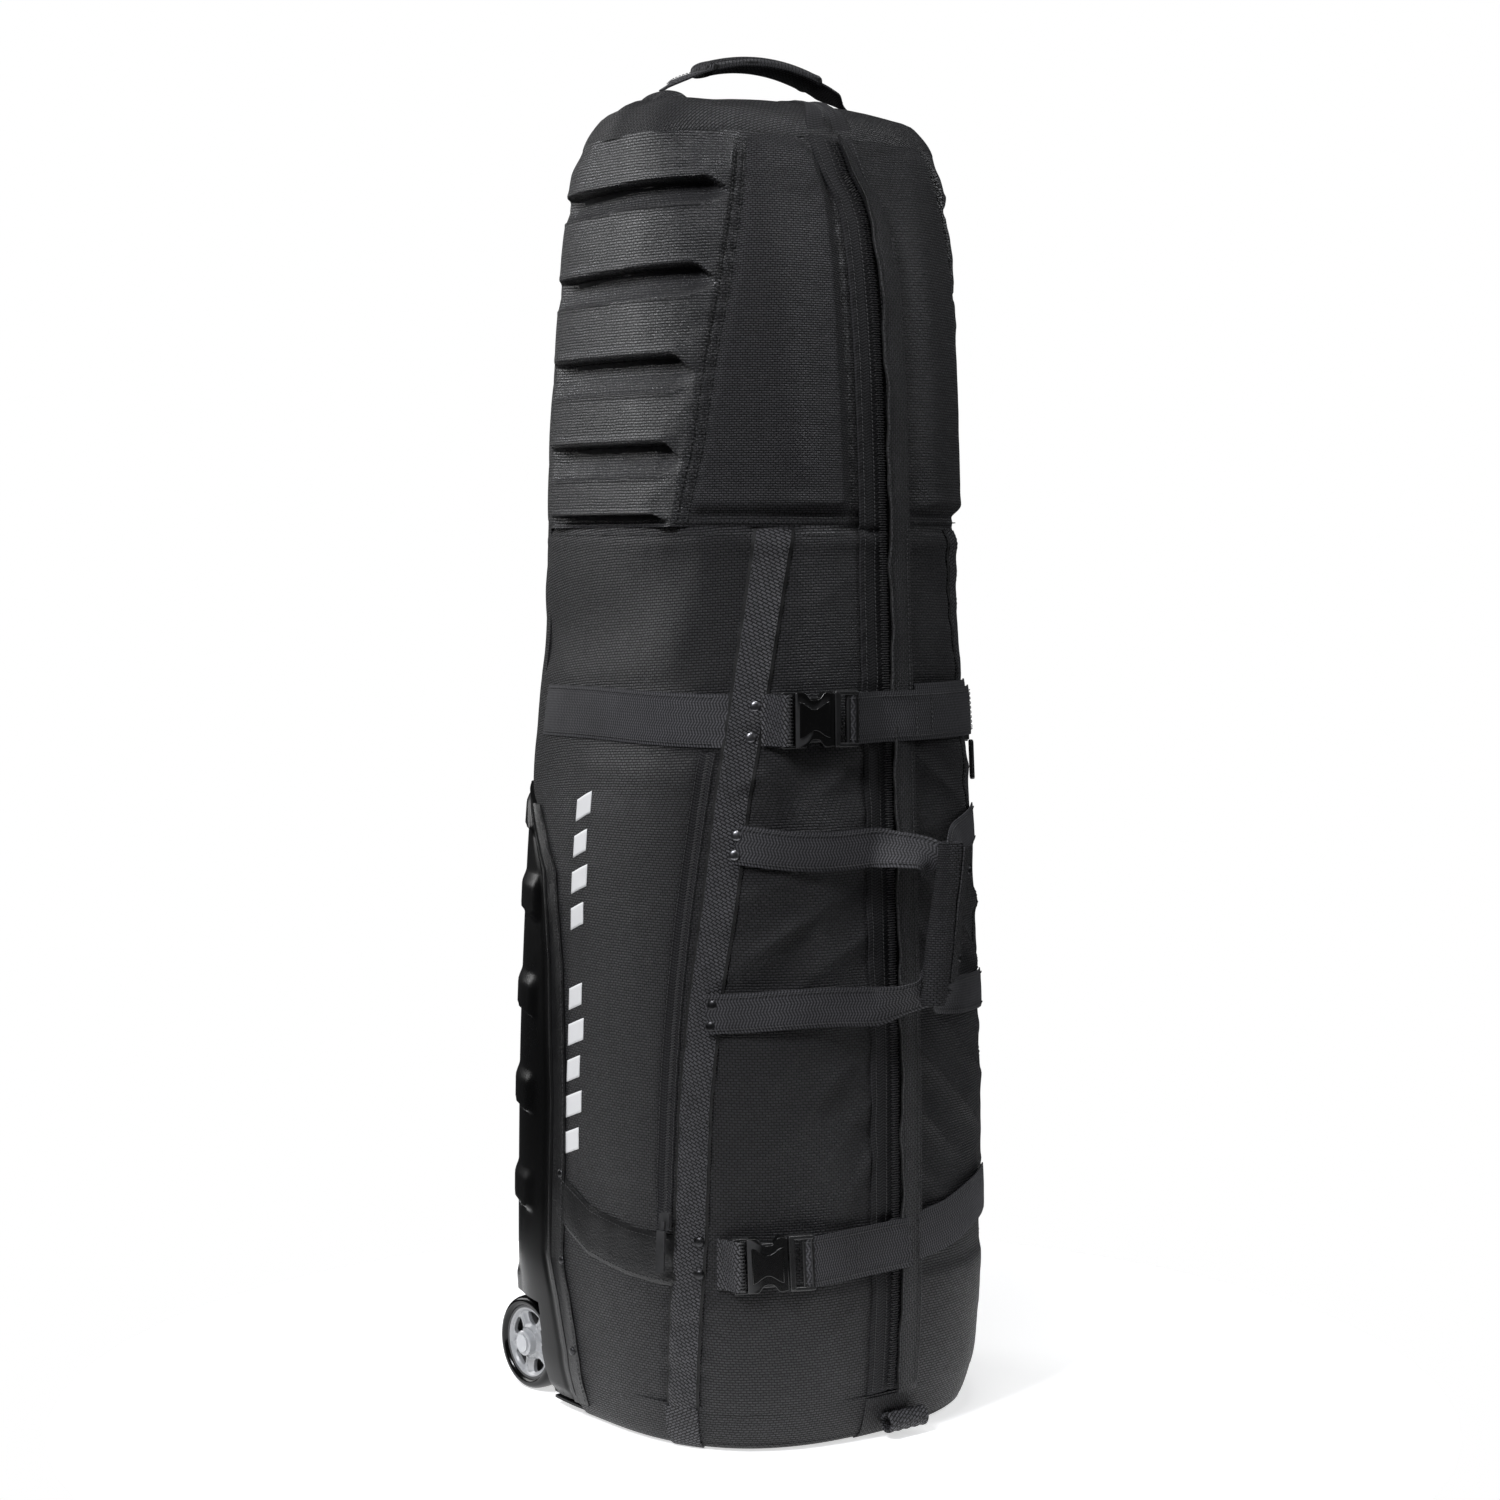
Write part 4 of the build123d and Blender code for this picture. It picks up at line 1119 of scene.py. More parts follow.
def pocket_zip(s):
    n = 150
    z = np.linspace(214, 664, n)[:, None]
    t = np.linspace(-1, 1, 9)[None]
    ph = pzip(z) + t * (7.6 / PITCH)
    P, N = on_wall(ph, z * np.ones_like(t), s)
    out = 1.0 - 0.5 * np.exp(-(t / 0.3) ** 2) * 1.0 + 0.2 * np.abs(t) ** 3
    ob = slab(SIDE[s] + "_pocket_zip_tape", P, N, out * np.ones_like(P[..., 0]), -0.6, [M_TAPE], uv=strip_uv(P, 0), flip=(s > 0))
    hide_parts("pocket_zips")
    soft(ob)
    z1 = np.linspace(216, 662, 400)
    C, M = on_wall(pzip(z1), z1, s, 0.5)
    V, F = coil_zip(C, M, 4.4)
    ob = make(SIDE[s] + "_pocket_zip_coil", V, F, M_COIL)
    soft(ob)
    for k in (-1, 1):
        THR[s].append(on_wall(pzip(z1) + k * 6.4 / PITCH, z1, s, 1.25))


def main_zip():
    n = 330
    for s in (-1, 1):
        z = np.linspace(47, 1241, n)[:, None]
        t = np.linspace(0, 1, 12)[None]
        x = -(1.3 + 25.5 * t) - s * zx(z)
        zz = z * np.ones_like(t)
        ph = ph_x(x * np.ones_like(z), zz)
        P, N = surf(ph, zz), normals(ph, zz)
        lo = np.where(zz < 874, lower_offset(P, ph, zz, s), hood_offset(P, ph, zz, s)[0])
        lo = np.minimum(lo, 1.2)
        edge = 0.5 * np.sin(zz / 3.6 + 2 * fbm(P, 50, 141)) * sstep(0.55, 1.0, t)
        raised = 1.0 * gauss((t - 0.82) * 25, 4.5)
        out = lo + 1.5 + edge + raised - 0.5 * (1 - sstep(0, 0.25, t))
        Pm, Nm = mir(P, s), mir(N, s)
        ob = slab(SIDE[s] + "_zip_tape", Pm, Nm, out, lo - 0.5, [M_TAPE], uv=strip_uv(P, 0), body=FLAP_S[s], flip=(s > 0))
        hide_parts("main_zip_" + SIDE[s])
        z1 = np.linspace(50, 1239, 700)
        for f in (9.5, 22.5):
            p1 = ph_x(-f - s * zx(z1), z1)
            Pq, Nq = surf(p1, z1), normals(p1, z1)
            lo1 = np.where(z1 < 874, lower_offset(Pq, p1, z1, s), hood_offset(Pq, p1, z1, s)[0])
            lo1 = np.minimum(lo1, 1.2)
            r1 = 1.0 * gauss((f - 1.3) / 25.5 * 25 - 0.82 * 25, 4.5)
            Q = Pq + Nq * (lo1 + 1.55 + r1)[:, None]
            ob = stitches("%s_zip_stitch_%d" % (SIDE[s], f), [(mir(Q, s), mir(Nq, s))], body=FLAP_S[s], pitch=4.2)
        # one row of coil on each tape, meshed on the middle line
        p1 = ph_x(-2.0 - s * zx(z1), z1)
        Pq, Nq = surf(p1, z1), normals(p1, z1)
        V, F = coil_zip(mir(Pq + Nq * 1.5, s), mir(Nq, s), 4.6, pitch=2.3, r=0.8, lift=0.9)
        ob = make(SIDE[s] + "_zip_coil", V, F, M_COIL, body=FLAP_S[s])


def weather():
    n = 330
    z = np.linspace(46, 1240, n)[:, None]
    t = np.linspace(0, 1, 14)[None]
    zz = z * np.ones_like(t)
    wave = 1.7 * np.sin(zz / 17 + 3 * fbm(np.stack([zz * 0, zz * 0, zz], -1), 90, 151)) + 1.0 * np.sin(zz / 6.1)
    xo = table([0, 1110, 1184, 1240], [33, 33, 25, 12], zz)
    x = xo - (xo - 4.4 - wave * 0.6 * (1 - sstep(1150, 1200, zz))) * t + zx(zz)
    ph = -ph_x(-x, zz)
    P, N = surf(ph, zz), normals(ph, zz)
    hood = sstep(860, 900, zz)
    lift = 2.3 + 1.5 * np.sin(pi * t * 0.9) + (0.8 + 0.9 * np.sin(zz / 17)) * t ** 2 + hood * 1.0
    lift = lift * sstep(0, 0.12, t) + 2.0 * (1 - sstep(0, 0.12, t)) + 1.2 * t ** 2
    lip = 1.5 * gauss((t - 0.94), 0.06)
    ob = slab("weather_flap_cloth", P, N, lift + lip + 1.2, lift - 0.1, [M_FAB], uv=strip_uv(P, 0), body="right_flap", flip=True)
    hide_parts("weather_flap")
    z1 = np.linspace(50, 1150, 600)
    for xx, lf in ((31.0, 3.6), (27.4, 4.7)):
        p = -ph_x(-xx + 0 * z1, z1)
        ob = stitches("weather_stitch_%d" % xx, [(surf(p, z1, lf - 0.2), normals(p, z1))], body="right_flap", pitch=4.4)


for s in (-1, 1):
    trims(s)
    bands(s)
    pocket_zip(s)
main_zip()
weather()

# hood seam, its two stitch rows, and the mid seam
for s in (-1, 1):
    z1 = np.linspace(878, 1238, 260)
    for k in (-5.6, 4.6):
        THR[s].append(on_hood(seam_ph(z1) + k / PITCH, z1, s, 0.55))
    pp = np.linspace(-126, -12, 330)
    THR[s].append(on_hood(pp, 878.5 + 0 * pp, s, 0.35))
    THR[s].append(on_wall(pp, 866.5 + 0 * pp, s, 0.35))
    ob = stitches(SIDE[s] + "_wall_stitches", THR[s], s=s)


# =====================================================================
# the moulded shell
# =====================================================================
def masked(name, A, B, keep, mats, uv, body, flip=False, sharp=40):
    """Closed sheet between outer grid A and inner grid B over the kept cells."""
    r, c = A.shape[:2]
    n = r * c
    i = np.arange(n).reshape(r, c)
    F = []
    edges = {}
    for a in range(r - 1):
        for b in range(c - 1):
            if not keep[a, b]:
                continue
            q = (i[a, b], i[a, b + 1], i[a + 1, b + 1], i[a + 1, b])
            F.append(q)
            F.append((q[3] + n, q[2] + n, q[1] + n, q[0] + n))
            for k in range(4):
                e = (q[k], q[(k + 1) % 4])
                if (e[1], e[0]) in edges:
                    del edges[(e[1], e[0])]
                else:
                    edges[e] = 1
    for a, b in edges:
        F.append((b, a, a + n, b + n))
    F = [tuple(int(v) for v in (f[::-1] if flip else f)) for f in F]
    V = np.concatenate([A.reshape(-1, 3), B.reshape(-1, 3)])
    UV = np.concatenate([uv.reshape(-1, 2)] * 2)
    return make(name, V, F, mats, None, UV, body=body, sharp=sharp)


STEPS = [(582, 612), (500, 531), (402, 432), (305, 335), (208, 236)]


def shell():
    zl = np.unique(np.concatenate([np.linspace(12, 620, 190), [106]] + [np.array([a, b]) for a, b in STEPS]))
    zl = np.sort(np.append(zl, []))
    nc = 260
    z = zl[:, None] * np.ones((1, nc))
    e = shell_edge(zl)[:, None]
    u = np.linspace(0, 1, nc)[None]
    ph = e + (-360 - e - e) * u          # from the left edge round the back to the right edge
    P, N = surf(ph, z), normals(ph, z)
    ps = np.abs(((ph + 180) % 360) - 180)    # 180 at the middle of the back
    o = np.full(P.shape[:2], 0.4)
    o += 2.6 * gauss((ps - np.abs(e)) * PITCH, 9)                    # rolled rim by the binding
    o -= 1.2 * gauss((ps - np.abs(e)) * PITCH - 14, 4)
    side = sstep(0, 8, ps - np.abs(e))
    for k, (a, b) in enumerate(STEPS):
        lo = a - 12 * (1 - sstep(112, 150, ps))
        up = sstep(lo - 2.5, lo + 1.5, z)
        dn = 1 - sstep(b - 14, b + 2, z)
        o += side * 4.0 * up * dn * sstep(114, 119, ps)
    # long recesses down the back
    for pc in (152, 166, 180):
        o -= 2.0 * (1 - sstep(2.6, 4.2, np.abs(ps - pc))) * sstep(120, 150, z) * (1 - sstep(560, 590, z))
    # flared foot with its chamfer
    o += 2.6 * (1 - sstep(118, 132, z)) * sstep(124, 129, ps)
    o -= 4.0 * (1 - sstep(12, 26, z))
    o -= 2.0 * gauss(z - 620, 4)
    o = np.minimum(o, 4.4)
    well = (z < 105) & (ps > 113.2) & (ps < 147.5)
    keep = ~(well[:-1, :-1] | well[1:, 1:] | well[1:, :-1] | well[:-1, 1:])
    A = P + N * o[..., None]
    B = P + N * (np.minimum(o, 0.2) - 3.4)[..., None]
    du = np.concatenate([np.zeros((len(zl), 1)), np.cumsum(np.linalg.norm(np.diff(P, axis=1), axis=-1), 1)], 1)
    ob = masked("shell_moulding", A, B, keep, [M_SHELL], np.stack([du, z], -1), "bag", flip=True)
    # floor of the shell
    parts = []
    V, F = [], []
    x0, x1, y0, y1 = -142, 142, 32, 190
    for (a, b, c, d, e1, f) in ((x0, x1, y0, y1, 13, 17),):
        V = np.array([(x, y, zq) for x in (a, b) for y in (c, d) for zq in (e1, f)], float)
        F = [(0, 1, 3, 2), (4, 6, 7, 5), (0, 4, 5, 1), (2, 3, 7, 6), (0, 2, 6, 4), (1, 5, 7, 3)]
    ob2 = make("shell_floor", V, F, M_SHELL, smooth=False, body="bag")
    m = ob2.modifiers.new("b", "BEVEL")
    m.width = 0.0012
    m.segments = 2
    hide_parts("hard_shell")
    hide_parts("hard_shell")
    # the leatherette binding over the shell's front rim
    for s in (-1, 1):
        z = np.linspace(16, 600, 240)[:, None]
        t = np.linspace(0, 1, 13)[None]
        ph = shell_edge(z) - 1.6 + 6.6 * t
        zz = z * np.ones_like(t)
        Pw, Nw = surf(ph, zz), normals(ph, zz)
        lo = lower_offset(Pw, ph, zz, s)
        base = (1 - sstep(0.2, 0.5, t)) * 2.6 + sstep(0.2, 0.5, t) * (np.maximum(lo, -1.5) + 1.9)
        pk = 0.3 * np.sin(zz / 5.2) * sstep(0.75, 1, t)
        out = np.minimum(base + pk + 0.25 * fbm(Pw, 22, 161), 4.6)
        ob3 = slab(SIDE[s] + "_shell_binding", mir(Pw, s), mir(Nw, s), out, out - 2.2, [M_BIND], uv=strip_uv(Pw, 0), body="bag", flip=(s > 0))
        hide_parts("shell_bindings")
        z1 = np.linspace(20, 596, 300)
        p1 = shell_edge(z1) + 4.2
        Q, M = surf(p1, z1), normals(p1, z1)
        l1 = np.maximum(lower_offset(Q, p1, z1, s), -1.5) + 2.05
        ob4 = stitches(SIDE[s] + "_binding_stitch", [(mir(Q + M * l1[:, None], s), mir(M, s))], body="bag")


shell()


# =====================================================================
# rivets
# =====================================================================
def dome(c, n, r, h):
    n = np.asarray(n, float)
    n /= np.linalg.norm(n)
    a = np.cross(n, [0, 0, 1.0])
    a /= np.linalg.norm(a)
    b = np.cross(n, a)
    prof = [(0, h), (0.35, h * 0.96), (0.62, h * 0.84), (0.82, h * 0.6), (0.95, h * 0.3), (1.0, 0.0), (1.0, -0.8), (0.0, -0.8)]
    seg = 24
    V, F = [], []
    for q, hh in prof:
        for k in range(seg):
            an = 2 * pi * k / seg
            V.append(c + (math.cos(an) * a + math.sin(an) * b) * r * max(q, 0.02) + n * hh)
    for j in range(len(prof) - 1):
        for k in range(seg):
            k2 = (k + 1) % seg
            F.append((j * seg + k, j * seg + k2, (j + 1) * seg + k2, (j + 1) * seg + k))
    F.append(tuple(range(seg))[::-1])
    F.append(tuple((len(prof) - 1) * seg + k for k in range(seg)))
    return np.array(V), F


def rivets():
    bright = [(-42.4, 587, 4.6), (-42.9, 569, 4.6), (-37.9, 707, 1.9), (-39.1, 678, 1.9)]
    dark = [(-48.0, 429, 4.6), (-48.4, 409, 4.6), (-51.3, 205, 1.9), (-51.3, 174, 1.9)]
    for nm, lst, mt in (("bright", bright, M_RIVET), ("dark", dark, M_RIVET_D)):
        parts = []
        for ph, z, l in lst:
            P, N = on_wall(ph, z, -1, l)
            parts.append(dome(P, N, 5.2, 2.4))
        V, F = merge(parts)
        ob = make("front_rivets_" + nm, V, F, mt, body="left_flap", sharp=50)
        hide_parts("front_rivets")
    parts = []
    for s in (-1, 1):
        for ph, z in ((-101.6, 243), (-100.6, 158), (-96.6, 70)):
            p = surf(ph, z)
            lo = float(max(lower_offset(p, ph, z, s), -1.5)) + 2.0
            parts.append(dome(mir(surf(ph, z, lo), s), mir(normals(ph, z), s), 4.4, 1.9))
    V, F = merge(parts)
    ob = make("shell_rivet_heads", V, F, M_RIVET_D, body="bag", sharp=50)
    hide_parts("shell_rivets")


rivets()


# =====================================================================
# straps
# =====================================================================
def ribbon(name, C, N, width, thick, mat, body, wave=0.25, rows=11, skip_uv=False, wfun=None, seed=0):
    C, N = np.asarray(C, float), np.asarray(N, float)
    T = np.gradient(C, axis=0)
    T /= np.linalg.norm(T, axis=1, keepdims=True) + 1e-9
    N = N - T * (N * T).sum(1, keepdims=True)
    N /= np.linalg.norm(N, axis=1, keepdims=True) + 1e-9
    W = np.cross(N, T)
    t = np.linspace(-0.5, 0.5, rows)[:, None, None]
    w = width if wfun is None else (width * wfun)[None, :, None]
    P = C[None] + W[None] * t * w
    NN = np.broadcast_to(N[None], P.shape).copy()
    tt = 2 * t[..., 0]
    out = thick / 2 - 0.45 * np.abs(tt) ** 6 + wave * fbm(P, 16, 171 + seed, 2)
    inn = -thick / 2 + 0.45 * np.abs(tt) ** 6 + wave * fbm(P, 16, 171 + seed, 2)
    ob = slab(name, P, NN, out, inn, [mat], uv=strip_uv(P, 1), body=body)
    return ob, P, NN


def resample(C, N, step=3.0, sm=2):
    C, N = np.asarray(C, float), np.asarray(N, float)
    d = np.concatenate([[0], np.cumsum(np.linalg.norm(np.diff(C, axis=0), axis=1))])
    q = np.linspace(0, d[-1], max(int(d[-1] / step), 8))
    f = lambda A: np.stack([np.interp(q, d, A[:, j]) for j in range(3)], -1)
    C, N = f(C), f(N)
    for _ in range(sm):
        C[1:-1] = (C[:-2] + 2 * C[1:-1] + C[2:]) / 4
        N[1:-1] = (N[:-2] + 2 * N[1:-1] + N[2:]) / 4
    N /= np.linalg.norm(N, axis=1, keepdims=True) + 1e-9
    return C, N


def buckle_frame(z, xa, xb, lift, rise):
    pa, pb = surf(ph_x(xa, z), z), surf(ph_x(xb, z + rise), z + rise)
    xd = pb - pa
    L = np.linalg.norm(xd)
    xd = xd / L
    n = np.array([xd[1], -xd[0], 0])
    n /= np.linalg.norm(n)
    if n[1] > 0:
        n = -n
    mid = (pa + pb) / 2
    xs = np.linspace(xa, xb, 9)
    bulge = max(float((surf(ph_x(x, z), z) - mid) @ n) for x in xs)
    o = mid + n * (bulge + lift)
    yd = np.cross(n, xd)
    half = L / 2
    return lambda x, y, zz: o + xd * x + yd * y + n * zz, n, half, xd, yd


def right_pt(x, z, off):
    ph = ph_x(-abs(x), z) if x < 0 else -ph_x(-abs(x), z)
    return surf(ph, z, off), normals(ph, z)


def strap(tag, z, xa, xb, lift, rise, zf, xs, xe, l0, l1, dz):
    f, n, half, xd, yd = buckle_frame(z, xa, xb, lift, rise)
    m0 = -half + 66.8
    C = [f(m0 + 14.0, 0, -4.0), f(m0 + 15.5, 0, 3.4), f(m0 + 20.0, 0, 4.0), f(m0 + 24.0, 0, 2.2)]
    N = [-xd * 0.7 + n * 0.7, n, n, n]
    for x in np.linspace(xs, xe, 16):
        zz = zf(x)
        p, q = right_pt(x, zz, 6.0 + 1.1 * math.sin(x / 17.0) * (1 if tag == "upper" else 1.5))
        C.append(p)
        N.append(q)
    C, N = resample(C, N, 2.5, 2)
    ob, P, NN = ribbon(tag + "_strap_web", C, N, 48, 2.2, M_WEB, "right_flap", wave=0.5, seed=3)
    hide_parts(tag + "_strap")
    # folded tail under the strap, held by a box of stitches
    C2, N2 = [], []
    for x in np.linspace(l0, l1, 16):
        p, q = right_pt(x, zf(x) + dz, 3.3)
        C2.append(p)
        N2.append(q)
    C2, N2 = resample(C2, N2, 3, 1)
    ob, P2, _ = ribbon(tag + "_strap_layer", C2, N2, 47, 2.0, M_WEB, "right_flap", wave=0.4, seed=5)
    runs = []
    for r in (0, -1):
        k = 1 if r == 0 else -2
        runs.append((P[k] + NN[k] * 1.2, NN[k]))
    for frac in (0.42, 0.52, 0.97):
        j = int(P.shape[1] * frac)
        runs.append((P[1:-1, j] + NN[1:-1, j] * 1.2, NN[1:-1, j]))
    ob = stitches(tag + "_strap_stitch", runs, body="right_flap")


strap("upper", 694, -126, -38, 9.0, 1, lambda x: 695.0, -12, 145, 34, 147, 6.5)
strap("lower", 186, -168, -88, 9.0, 4, lambda x: float(table([-80, 10, 69, 104, 160], [189, 192, 200, 210, 222], x)), -60, 14, -8, 150, 1.0)


def tabs():
    for tag, z, xa, xb, rise in (("upper", 694, -126, -38, 1), ("lower", 186, -168, -88, 4)):
        f, n, half, xd, yd = buckle_frame(z, xa, xb, 9.0, rise)
        fx0 = -half + 27
        ph = ph_x(xa + 1, z)
        p0, q0 = on_wall(ph, z, -1, 2.6)
        p1, q1 = on_wall(ph_x(xa + 5, z), z, -1, 3.6)
        C = [p0, p1, f(fx0 - 13.5, 0, -1.5), f(fx0 - 10.5, 0, 4.2), f(fx0 - 5.5, 0, 4.9), f(fx0 - 2.5, 0, 1.0)]
        N = [q0, q1, n - xd * 0.4, n - xd * 0.2, n, n + xd * 0.8]
        C, N = resample(C, N, 1.6, 1)
        ob, P, NN = ribbon(tag + "_tab", C, N, 48, 2.1, M_WEB2, "left_flap", wave=0.3, seed=7)
        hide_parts("buckle_tabs")


tabs()


# =====================================================================
# haul handle
# =====================================================================
def grip_c(z):
    return np.array([18 + 0.14 * (z - 500), -262.0, z])


def haul():
    def loop(name, pts, body, w=37, wave=0.5, seed=0, rep=None):
        C = [p for p, n in pts]
        N = [n for p, n in pts]
        C, N = resample(C, N, 2.6, 5)
        ob, P, NN = ribbon(name, C, N, w, 2.1, M_WEB, body, wave=wave, seed=seed)
        if rep:
            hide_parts(rep)
        runs = [(P[1] + NN[1] * 1.15, NN[1]), (P[-2] + NN[-2] * 1.15, NN[-2])]
        ob = stitches(name + "_st", runs, body=body)
        return P

    # left: upper and lower ends, each a doubled strap
    for k, (zs, zend, xa, sag) in enumerate(((579, 574, -148, 5), (420, 424, -170, -4))):
        pts = []
        xs = np.linspace(xa, -30, 12)
        for x in xs:
            f = (x - xa) / (-30 - xa)
            z = zs + (zend - zs) * f - sag * math.sin(pi * f)
            off = 3.4 + 15 * f ** 2.2 + 1.6 * math.sin(5 * f)
            p, n = right_pt(x, z, off)
            pts.append((p, n))
        gz = 566 if k == 0 else 438
        g = grip_c(gz)
        up = 1 if k == 0 else -1
        pts.append((np.array([-14.0, -243.0, (zend + gz) / 2 + 1.5 * up]), np.array([0.1, -0.9, 0.35 * up])))
        pts.append((np.array([0.0, -252.0, gz + 4.0 * up]), np.array([-0.2, -0.8, 0.55 * up])))
        pts.append((np.array([9.0, -258.0, gz - 1.0 * up]), np.array([-0.4, -0.8, 0.4 * up])))
        pts.append((np.array([15.0, -260.0, gz - 10.0 * up]), np.array([-0.5, -0.8, 0.1 * up])))
        loop("haul_left_%d" % k, pts, "left_flap", seed=11 + k, rep="haul_strap_left")
    # right: two short runs up to the fold line
    for k, (z0, z1, xe) in enumerate(((566, 584, 148), (438, 418, 158))):
        up = 1 if k == 0 else -1
        g = grip_c(z0)
        pts = [(g + np.array([4.0, 2.0, -8.0 * up]), np.array([0.5, -0.8, 0.1])),
               (g + np.array([13.0, 6.0, 2.0 * up]), np.array([0.55, -0.75, 0.3 * up])),
               (g + np.array([25.0, 14.0, 8.0 * up]), np.array([0.45, -0.85, 0.4 * up]))]
        for x in np.linspace(62, xe, 9):
            f = (x - 62) / (xe - 62)
            z = z0 + 11 * up + (z1 - z0 - 11 * up) * f
            p, n = right_pt(x, z, 24 * (1 - f) ** 1.8 + 3.4)
            pts.append((p, n))
        loop("haul_right_%d" % k, pts, "right_flap", seed=21 + k, rep="haul_strap_right")
    # padded wrap, leatherette on the bag, here in the pad cloth: rolled, with a lapped edge
    n, m = 90, 56
    zz = np.linspace(426, 578, n)
    P = np.zeros((n, m, 3))
    a = np.linspace(0, 2 * pi, m)
    for i, z in enumerate(zz):
        c = grip_c(z)
        f = (z - 426) / 152
        r = 13.6 * (1 - 0.16 * abs(2 * f - 1) ** 5) + 0.7 * math.sin(7 * f)
        rad = r + 1.1 * np.sin(3 * a + 4 * f) * 0.4
        lap = 2.2 * np.exp(-((a - 5.1) / 0.16) ** 2)
        rad = rad + lap * (1 - 0.5 * f)
        P[i, :, 0] = c[0] + rad * np.cos(a)
        P[i, :, 1] = c[1] + rad * 0.86 * np.sin(a)
        P[i, :, 2] = z
    V = P.reshape(-1, 3)
    F = []
    for i in range(n - 1):
        for j in range(m - 1):
            F.append((i * m + j, i * m + j + 1, (i + 1) * m + j + 1, (i + 1) * m + j))
    k0 = len(V)
    V = np.concatenate([V, [grip_c(428)], [grip_c(576)]])
    for j in range(m - 1):
        F.append((j + 1, j, k0))
        F.append(((n - 1) * m + j, (n - 1) * m + j + 1, k0 + 1))
    q = (V - np.array([18, -262, 500]))
    V[:k0] += (0.9 * fbm(V[:k0], 26, 181, 2) + 0.35 * fbm(V[:k0], 9, 183, 2))[:, None] * np.concatenate([q[:k0, :2], 0 * q[:k0, :1]], 1) / 16
    UV = np.stack([np.arctan2(q[:, 1], q[:, 0]) * 15, q[:, 2]], -1)
    ob = make("haul_grip_wrap", V, F, M_PAD, uvs=UV, body="right_flap", sharp=60)
    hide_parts("haul_grip")
    # the wrap's free edge stands off on the right, with two snap studs
    z = np.linspace(446, 574, 40)[:, None]
    t = np.linspace(0, 1, 14)[None]
    base = np.array([grip_c(v) for v in z[:, 0]])[:, None, :]
    X = base[..., 0] + 8 + 17 * t
    Y = base[..., 1] - 10.8 + 9 * t ** 1.5 + 1.2 * np.sin(z / 13) * t
    P = np.stack([X, Y, z * np.ones_like(t)], -1)
    N = np.zeros_like(P)
    N[..., 0] = 0.35
    N[..., 1] = -0.93
    ob = slab("haul_grip_lap", P, N, 1.1 - 0.4 * t ** 6 + 0.3 * fbm(P, 15, 187), -1.1 + 0.3 * fbm(P, 15, 187), [M_PAD], uv=strip_uv(P, 0), body="right_flap")
    parts = []
    for i in (7, 32):
        parts.append(dome(P[i, 10] + N[i, 10] * 1.2, N[i, 10], 4.0, 1.6))
    V, F = merge(parts)
    ob = make("haul_grip_studs", V, F, M_RIVET_D, body="right_flap", sharp=50)
    ob = stitches("haul_grip_stitch", [(P[1:-1, 12] + N[1:-1, 12] * 1.0, N[1:-1, 12])], body="right_flap")


haul()


